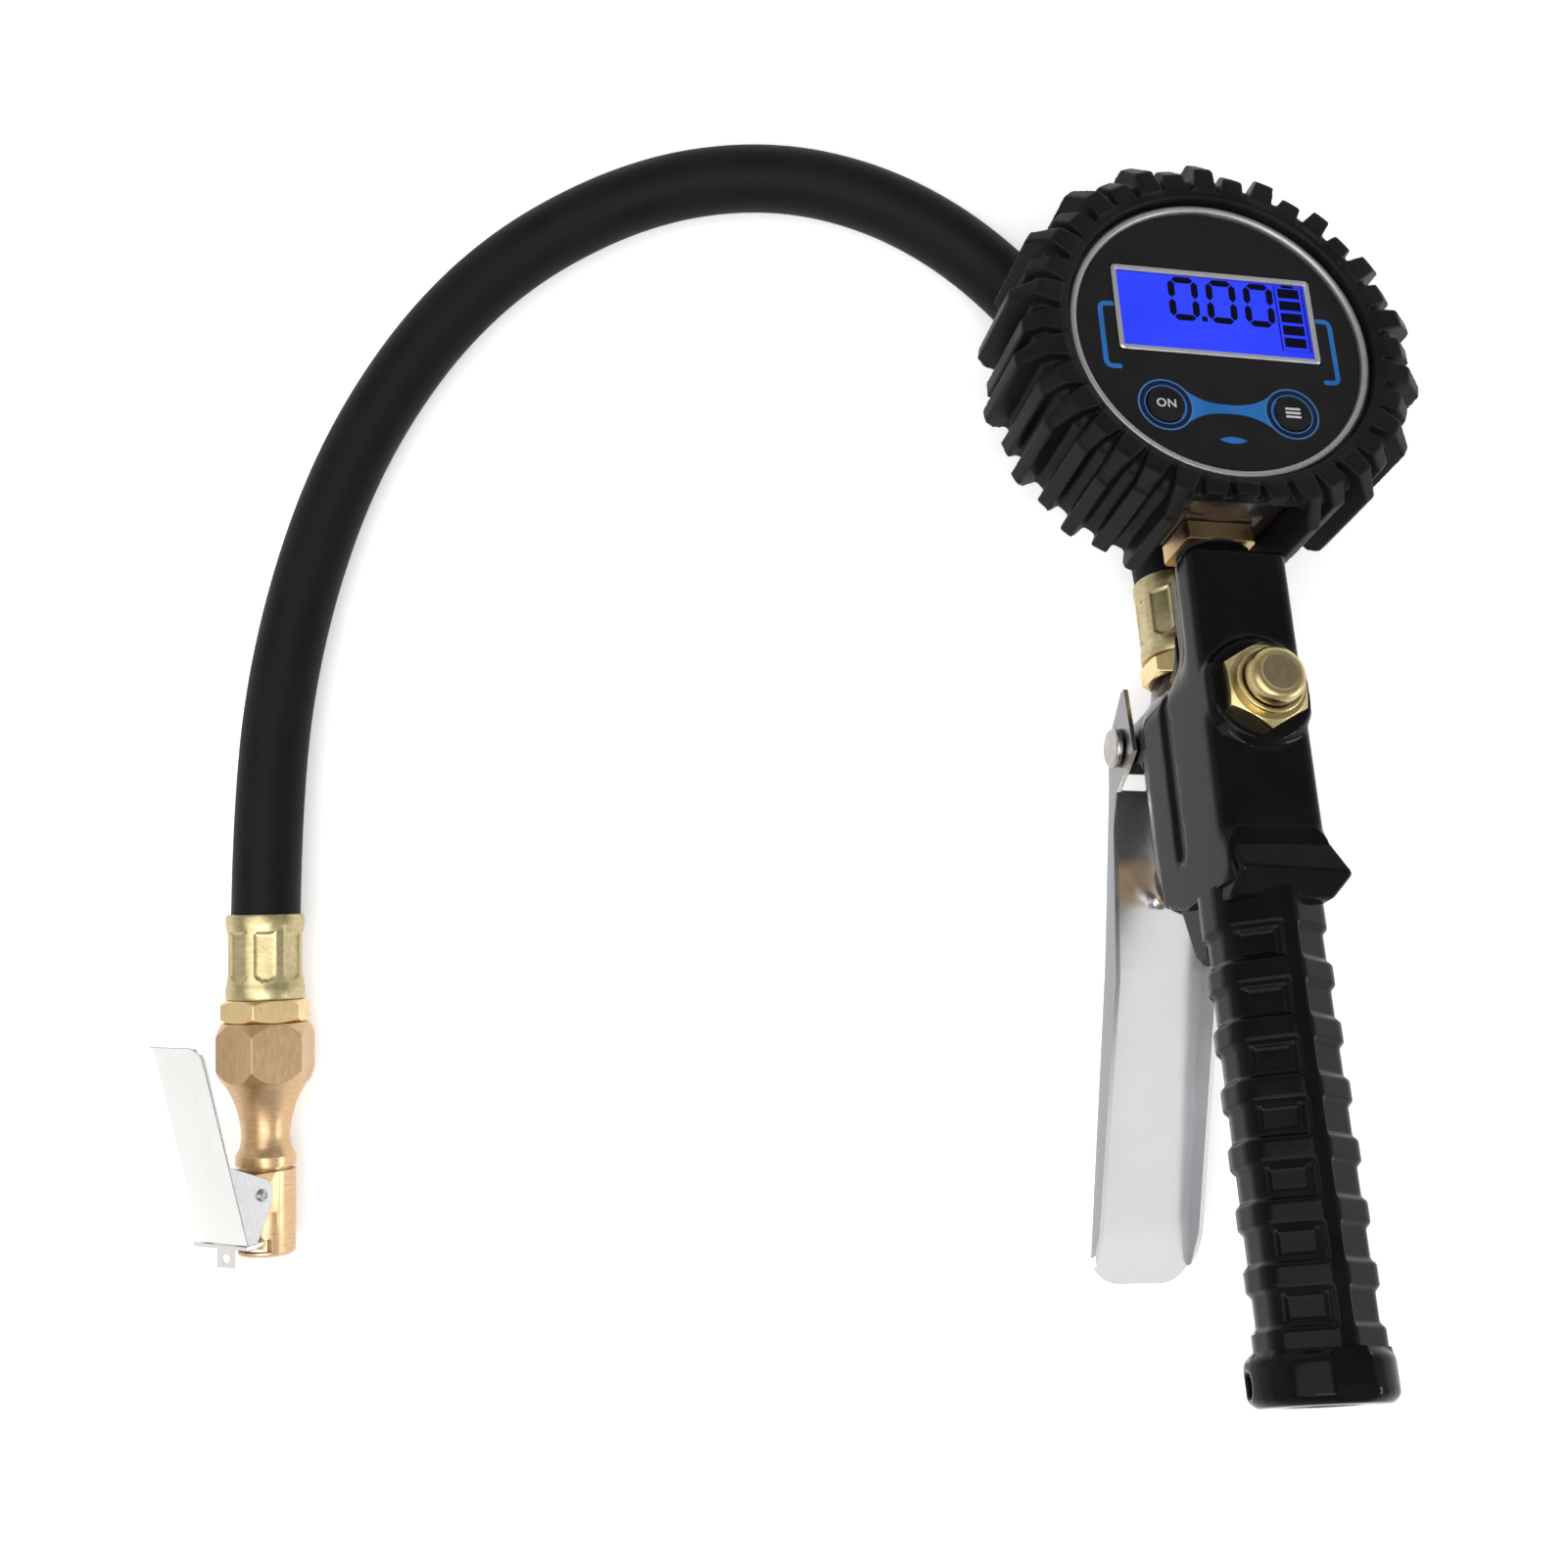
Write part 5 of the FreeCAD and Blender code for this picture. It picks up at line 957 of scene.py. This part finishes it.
def waisted_band():
    """The band between the buttons, narrow in the middle."""
    steps = 40
    path = []
    halves = []
    for step in range(steps + 1):
        x = -WAIST_REACH + 2 * WAIST_REACH * step / steps
        path.append((x, -BUTTON_LOW))
        halves.append(WAIST_HALF + WAIST_FLARE * (abs(x) / WAIST_REACH) ** 2.6)
    printed("waisted_band", path, halves)


def button_rings(name, side):
    """A dark ring round a button between two bright lines."""
    for part, radius, half, rise, material in (
        ("moat", 4.55, 0.62, 0.006, NAVY_PRINT),
        ("ring", 5.28, 0.17, 0.012, EDGE_PRINT),
        ("collar", 4.08, 0.12, 0.012, EDGE_PRINT),
    ):
        path = arc((side * BUTTON_SIDE, -BUTTON_LOW), radius, 0, 360, 64)[:-1]
        printed(f"{name}_{part}", path, half, material, rise, closed=True)


def lens_mark():
    """The mark below the buttons, thick in the middle."""
    steps = 16
    path = [(-MARK_REACH + 2 * MARK_REACH * step / steps, MARK_LOW) for step in range(steps + 1)]
    printed("lens_mark", path, [0.03 + MARK_HALF * (1 - (x / MARK_REACH) ** 2) for x, _ in path])


bracket("bracket_left", -1)
bracket("bracket_right", 1)
waisted_band()
button_rings("on", -1)
button_rings("function", 1)
lens_mark()

# Keys
KEY_TOP = -0.45
KEY_FOOT = -4.2
KEY_SHOULDER = -3.0
KEY_RADIUS = 3.7
KEY_FLANGE = 4.7
SIGN_PITCH = 0.85


def key(name, side):
    """A round key with a dished top, on a wider flange under the panel."""
    profile = [(0, KEY_FOOT), (KEY_FLANGE, KEY_FOOT), (KEY_FLANGE, KEY_SHOULDER)]
    profile += [(KEY_RADIUS, KEY_SHOULDER), (KEY_RADIUS, -0.8), (3.62, -0.58), (3.4, KEY_TOP)]
    profile += [(3.0, KEY_TOP - 0.03), (2.0, KEY_TOP - 0.1), (1.0, KEY_TOP - 0.14), (0, KEY_TOP - 0.15)]
    lathe(f"{name}_key", profile, FACE @ shift(side * BUTTON_SIDE, -BUTTON_LOW, 0), BUTTON, f"{name}_key",
          f"{name}_button", "button_black", 72)


def on_sign():
    words = bpy.data.curves.new("on_sign", "FONT")
    words.body = "ON"
    words.size = 2.45 * MM
    words.align_x = "CENTER"
    words.align_y = "CENTER"
    words.extrude = 0.02 * MM
    words.offset = 0.03 * MM
    words.space_character = 1.08
    curve_piece("on_sign", words, FACE @ shift(-BUTTON_SIDE, -BUTTON_LOW, KEY_TOP - 0.02), WHITE_PRINT,
                "on_key")


def function_sign():
    """Three short bars in place of a word."""
    for index in range(3):
        y = -BUTTON_LOW + SIGN_PITCH - SIGN_PITCH * index
        band(f"function_sign_{index}", [(BUTTON_SIDE - 1.5, y), (BUTTON_SIDE + 1.5, y)], 0.2,
             KEY_TOP - 0.14, KEY_TOP, FACE, WHITE_PRINT, "function_key", "button_black")


key("on", -1)
key("function", 1)
on_sign()
function_sign()


# Gauge case's foot round the stem, the brass stem, the bleed valve and the nuts
def case_foot():
    low = 157.35
    high = 163.5
    outline = [(-8.0, low), (5.0, low), (5.0, high), (-8.0, high)]
    new_piece("case_foot", *prism(outline, 8.2), GUN, CASE, "gun", slot="black_plastic", bevel=0.6)


def bleed_valve():
    """A hexagon, a round collar and a domed cap with a painted dark reflection on its flat top."""
    hexagon_nut("bleed_hexagon", BLEED, GOLD, flats=14.5, low=12.9, high=15.7, bore=4.4, bite=0.8,
                node="bleed_nut", slot="brass_plated", both=False)
    collar = [(5.65, 14.2), (6.2, 14.2)] + arc((5.9, 16.7), 0.4, 0, 90, 4) + [(5.65, 17.1)]
    lathe("bleed_collar", collar, BLEED, GOLD, "gun", slot="brass_plated", segments=72)
    cap = [(0, 15.7), (5.3, 15.7)] + arc((3.7, 18.9), 1.6, 0, 90, 8)
    cap += [(3.45, 20.46), (3.2, 20.33), (0, 20.3)]
    lathe("bleed_cap", cap, BLEED, GOLD, "bleeder", "bleed_button", "brass_plated", 96)
    # The flat on the cap's top, in darker gold: a painted dark reflection
    flat = [(0, 20.2), (3.3, 20.2), (3.3, 20.36), (0, 20.38)]
    lathe("bleed_cap_painted_reflection", flat, BLEED, CAP_REFLECTION, "bleeder", slot="brass_plated", segments=48)


case_foot()
crisp_copy("gauge_stem", "stem_block", BRASS, "gun", 0.35)
bleed_valve()
hexagon_nut("gun_hexagon", PORT, NUT_BRASS, flats=14.0, low=0.0, high=PORT_NUT_HIGH, bore=4.4, bite=0.7,
            node="hose_fitting")
hexagon_nut("chuck_nut_hexagon", CHUCK_NUT, NUT_BRASS, flats=15.5, low=0.0, high=4.6, bore=4.4, bite=0.8,
            node="chuck_fitting")

# Ferrules, with two round rims and eight pads pressed flat between them
FERRULE_LONG = 16.9
FERRULE_BORE = 6.85
FERRULE_RADIUS = 7.45
RIM_RADIUS = 7.65
SKIN_LOW = 3.2
SKIN_HIGH = 13.8
SKIN_STEPS = 34
PADS = 8
PAD_LOW = 3.6
PAD_HIGH = 13.4
PAD_HALF = 2.15
PAD_FLAT = 6.96
PAD_EDGE = 0.36


def pressed(r, z, angle):
    """The ferrule's radius with its pads pressed in."""
    if r < 7.0:
        return r
    half_turn = math.pi / PADS
    part = (angle + half_turn) % (2 * half_turn) - half_turn
    across = FERRULE_RADIUS * math.sin(part)
    bulge = 1.1 * (across / PAD_HALF) ** 2
    inside = min(PAD_HALF - abs(across), z - PAD_LOW - bulge, PAD_HIGH - z)
    return r + (min(r, PAD_FLAT / math.cos(part)) - r) * ease(inside, 0, PAD_EDGE)


def crimped_ferrule(name, place, node):
    profile = [(FERRULE_BORE, 0.0), (7.2, 0.0), (7.5, 0.12), (RIM_RADIUS, 0.5), (RIM_RADIUS, 2.0)]
    profile += [(7.6, 2.6)]
    for step in range(SKIN_STEPS):
        profile.append((FERRULE_RADIUS, SKIN_LOW + (SKIN_HIGH - SKIN_LOW) * step / SKIN_STEPS))
    profile += [(FERRULE_RADIUS, SKIN_HIGH), (7.6, 14.5), (RIM_RADIUS, 15.0), (RIM_RADIUS, 16.3)]
    profile += [(7.5, 16.78), (7.2, FERRULE_LONG), (FERRULE_BORE, FERRULE_LONG)]
    turned(name, lambda angle: [(pressed(r, z, angle), z) for r, z in profile], 192, place, PLATED, "gun",
           node, "brass_plated")


crimped_ferrule("gun_crimp", GUN_FERRULE, "gun_ferrule")
crimped_ferrule("chuck_crimp", CHUCK_FERRULE, "chuck_ferrule")

# Lever, whose flanks carry a painted dark reflection and whose inside carries painted shade, darker than
# its web
LEVER_SIDE = 10.9


def flank_with_painted_reflection(centre, normal):
    return abs(centre.x) > LEVER_SIDE - 0.2 and abs(normal.x) > 0.9


def inside_flank_painted_shade(centre, normal):
    return normal.x < -0.9 and centre.x > LEVER_SIDE - 1.5


lever = crisp_copy("trigger_lever", "lever", CHROME, "lever", 0.32)
# The flanks' outer faces get the painted dark reflection
second_face(lever, FLANGE, GUN, flank_with_painted_reflection)
# The inside of the right flank gets painted shade
second_face(lever, LEVER_INSIDE_SHADE, GUN, inside_flank_painted_shade)
# Its folds get a painted dark reflection
painted_dark_folds(lever, FOLD_REFLECTION)
crisp_copy("lever_pin", "pivot_pin", PIN_STEEL, "gun", 0.25)

# Chuck
CHUCK_FLATS = 17.05
CHUCK_HEX_LOW = 33.55
CHUCK_HEX_HIGH = 45.32
CORE_SHARE = 0.8


def chuck_form(x, y, z):
    """Draws the plain hexagon's corners in under the turned one."""
    if math.hypot(x, y) < CHUCK_FLATS / 2 - 0.1 or z < CHUCK_HEX_LOW - 0.2:
        return x, y, z
    return x * CORE_SHARE, y * CORE_SHARE, z


crisp_copy("chuck_body", "chuck", CHUCK_BRASS, "gun", 0.22, CHUCK, chuck_form)
hexagon_nut("chuck_hexagon", CHUCK, CHUCK_BRASS, flats=CHUCK_FLATS, low=CHUCK_HEX_LOW, high=CHUCK_HEX_HIGH,
            bore=5.2, bite=2.4)

# Clip
CLIP_SIDE = 6.5
CLIP_TIP = 28.1
CLIP_ROUND = 4.5
CLIP_LOW = -9
ROUND_NEAR = 2.2
ROUND_FAR = 0.6
LOW_LIFT = 0.8
TIP_LIFT = 1.3
TIP_OUT = 0.4


def clip_form(x, y, z):
    """Lifts the lower edge and the tip a little, and sharpens the tip's two rounded corners."""
    if z < CLIP_LOW:
        return x, y, z + LOW_LIFT
    up = z - (CLIP_TIP - CLIP_ROUND)
    if up <= -0.1:
        return x, y, z
    side = abs(y) - (CLIP_SIDE - CLIP_ROUND)
    if side > -0.01 and abs(math.hypot(side, up) - CLIP_ROUND) < 0.15:
        corner = math.atan2(up, side)
        radius = ROUND_NEAR if y > 0 else ROUND_FAR
        y = math.copysign(CLIP_SIDE - radius + radius * math.cos(corner), y)
        z = CLIP_TIP - radius + radius * math.sin(corner)
    return x + TIP_OUT, y, z + TIP_LIFT


def jaw_form(x, y, z):
    """A plate as wide as the clip with a short narrow tab."""
    if abs(y) > 4 and x > 0:
        y = 6.2 if y > 0 else -8.2
    elif abs(y) > 4:
        y = math.copysign(4.2, y)
    elif abs(y) > 3.2:
        y = 3.1 if y > 0 else -1.7
    else:
        y += 0.7
    if z > -11:
        return x, y, z + 0.7
    return x, y, z + (1.6 if z < -15 else 1.3)


def clip_plates():
    clip = crisp_copy("clip_lever", "clip_plate", STEEL, "clip", 0.34, CLIP, clip_form)
    # The clip's folds get a painted dark reflection
    painted_dark_folds(clip, FOLD_REFLECTION)
    # The clip's flanks get painted shade
    second_face(clip, CLIP_FLANK_SHADE, CLIP, lambda centre, normal: abs(normal.y) > 0.9)
    jaw = crisp_copy("clip_jaw", "jaw_plate", STEEL, "clip", 0.16, CLIP, jaw_form)
    # The jaw's folds get a painted dark reflection
    painted_dark_folds(jaw, FOLD_REFLECTION)


def rivet_end(name, side):
    """The hollow, rolled end of the clip's rivet."""
    profile = [(0.42, 6.2), (1.05, 6.2), (1.25, 6.55), (1.1, 7.0), (0.7, 7.15), (0.45, 7.0)]
    lathe(name, profile, CLIP @ turn(90, "X") @ turn(side, "X"), PIN_STEEL, "gun", slot="clip_steel",
          segments=32)


def spring_leg():
    """The spring's straight wire, up the inside of the clip."""
    points = [(1.9, 0, 0.6), (2.4, 0, 4.0), (6.0, 0, 12.0), (10.1, 0, 22.5)]
    curve = tube_curve("clip_spring_leg", points, radius=0.42, steps=6, round_steps=3)
    curve_piece("clip_spring_leg", curve, CLIP, STEEL, "clip", smooth=50)


clip_plates()
rivet_end("clip_rivet_near", 0)
rivet_end("clip_rivet_far", 180)
spring_leg()

# Hose
HOSE_POINTS = [
    (-2.392, 16.787, 20.878), (-3.495, 43.09, 12.929), (-12.492, 69.604, 7.8),
    (-33.192, 97.004, 6.8), (-56.892, 113.804, 6.8), (-84.192, 120.504, 6.8),
    (-113.692, 115.404, 6.8), (-144.292, 97.004, 6.8), (-167.392, 65.404, 6.8),
    (-180.292, 27.404, 7.4), (-184.337, -11.815, 9.9), (-183.55, -49.307, 9.9),
]
HOSE_DIAMETER = 13.5
NODES_ON_HOSE = ("chuck_seal", "chuck_depressor", "clip_pin", "clip_spring")
PIECES_ON_HOSE = ("chuck_nut_hexagon", "chuck_crimp", "chuck", "chuck_hexagon", "clip_plate", "jaw_plate",
                  "clip_rivet_near", "clip_rivet_far", "clip_spring_leg")


def rubber_hose():
    curve = tube_curve("hose_rubber", HOSE_POINTS, radius=HOSE_DIAMETER / 2, steps=16, round_steps=12)
    curve.materials.append(HOSE)
    piece = new_object("rubber_hose", curve)
    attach(piece, "gun")
    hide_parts("hose")
    on_hose = [NODES[n] for n in NODES_ON_HOSE]
    on_hose += [bpy.data.objects[n] for n in PIECES_ON_HOSE]


rubber_hose()

# Camera
PHOTO_SIDE = 1601
FOCAL_PIXELS = 1887.45
SENSOR = 36


def camera():
    lens = bpy.data.cameras.new("camera")
    lens.sensor_width = SENSOR
    lens.lens = SENSOR * FOCAL_PIXELS / PHOTO_SIDE
    lens.clip_start = 0.01
    eye = new_object("camera", lens)
    axes = Matrix(((0.97994, -0.03207, -0.19671), (-0.19528, -0.35204, -0.91539),
                   (-0.03989, 0.93543, -0.35124)))
    eye.matrix_world = GUN @ shift(-146.6, -289.7, -7.25) @ axes.to_4x4()
    bpy.context.scene.camera = eye


camera()

# Floor and light; the window's direction is the one the lever's web mirrors to the camera
FLOOR_HALF = 3.0
FLOOR_COLOUR = (0.9, 0.9, 0.9)
FLOOR_GLOW = 0.44
WORLD_LIGHT = 0.34
CEILING = 0.42
CEILING_FROM = 0.2
CEILING_TO = 0.62
WINDOW = (0.624, -0.203, 0.755)
WINDOW_INNER = 0.961
WINDOW_OUTER = 0.913


def seen_directly(owner):
    """1 where the camera, a reflection or glass sees the surface."""
    rays = add(owner, "ShaderNodeLightPath").outputs
    either = maths(owner, "MAXIMUM", rays["Is Camera Ray"], rays["Is Glossy Ray"])
    return maths(owner, "MAXIMUM", either, rays["Is Transmission Ray"])


def floor():
    """A white floor that glows a little where it is seen."""
    mesh = bpy.data.meshes.new("floor")
    corners = [(-FLOOR_HALF, -FLOOR_HALF, 0), (FLOOR_HALF, -FLOOR_HALF, 0), (FLOOR_HALF, FLOOR_HALF, 0),
               (-FLOOR_HALF, FLOOR_HALF, 0)]
    mesh.from_pydata(corners, [], [(0, 1, 2, 3)])
    mat = new_material("floor")
    diffuse = add(mat, "ShaderNodeBsdfDiffuse", [FLOOR_COLOUR])
    strength = maths(mat, "MULTIPLY", seen_directly(mat), FLOOR_GLOW)
    glow = add(mat, "ShaderNodeEmission", [(1, 1, 1), strength])
    both = add(mat, "ShaderNodeAddShader", [diffuse.outputs[0], glow.outputs[0]])
    add(mat, "ShaderNodeOutputMaterial", [both.outputs[0]])
    mesh.materials.append(mat)
    new_object("floor", mesh)


def world_light():
    """White at the horizon and in one window, grey overhead where seen, dim and even otherwise."""
    world = bpy.data.worlds.new("world")
    bpy.context.scene.world = world
    world.use_nodes = True
    world.node_tree.nodes.clear()
    direction = add(world, "ShaderNodeTexCoord").outputs["Generated"]
    up = add(world, "ShaderNodeSeparateXYZ", [direction]).outputs[2]
    dome = remap(world, up, 1.0, CEILING, CEILING_FROM, CEILING_TO, smooth=True)
    towards = add(world, "ShaderNodeVectorMath", [direction, WINDOW])
    towards.operation = "DOT_PRODUCT"
    window = remap(world, towards.outputs["Value"], 0.0, 1.0, WINDOW_OUTER, WINDOW_INNER, smooth=True)
    brighter = maths(world, "MAXIMUM", dome, window)
    level = remap(world, seen_directly(world), WORLD_LIGHT, brighter, 0.0, 1.0)
    glow = add(world, "ShaderNodeBackground", Strength=level)
    add(world, "ShaderNodeOutputWorld", [glow.outputs[0]])


def lamp(name, spot, aim, size, power):
    data = bpy.data.lights.new(name, "AREA")
    data.shape = "RECTANGLE"
    data.size, data.size_y = size
    data.energy = power
    piece = new_object(name, data)
    piece.location = spot
    piece.rotation_euler = (Vector(aim) - Vector(spot)).to_track_quat("-Z", "Y").to_euler()


floor()
world_light()
lamp("key", spot=(-0.33, -0.15, 1.0), aim=(0, 0, 0), size=(1.1, 1.1), power=8)
lamp("side", spot=(0.95, -0.28, 0.29), aim=(0, -0.02, 0.05), size=(0.5, 0.025), power=2.4)
lamp("top", spot=(0.0, -0.35, 0.95), aim=(0, -0.02, 0.05), size=(0.6, 0.025), power=2.0)
bpy.context.scene.view_settings.view_transform = "Standard"
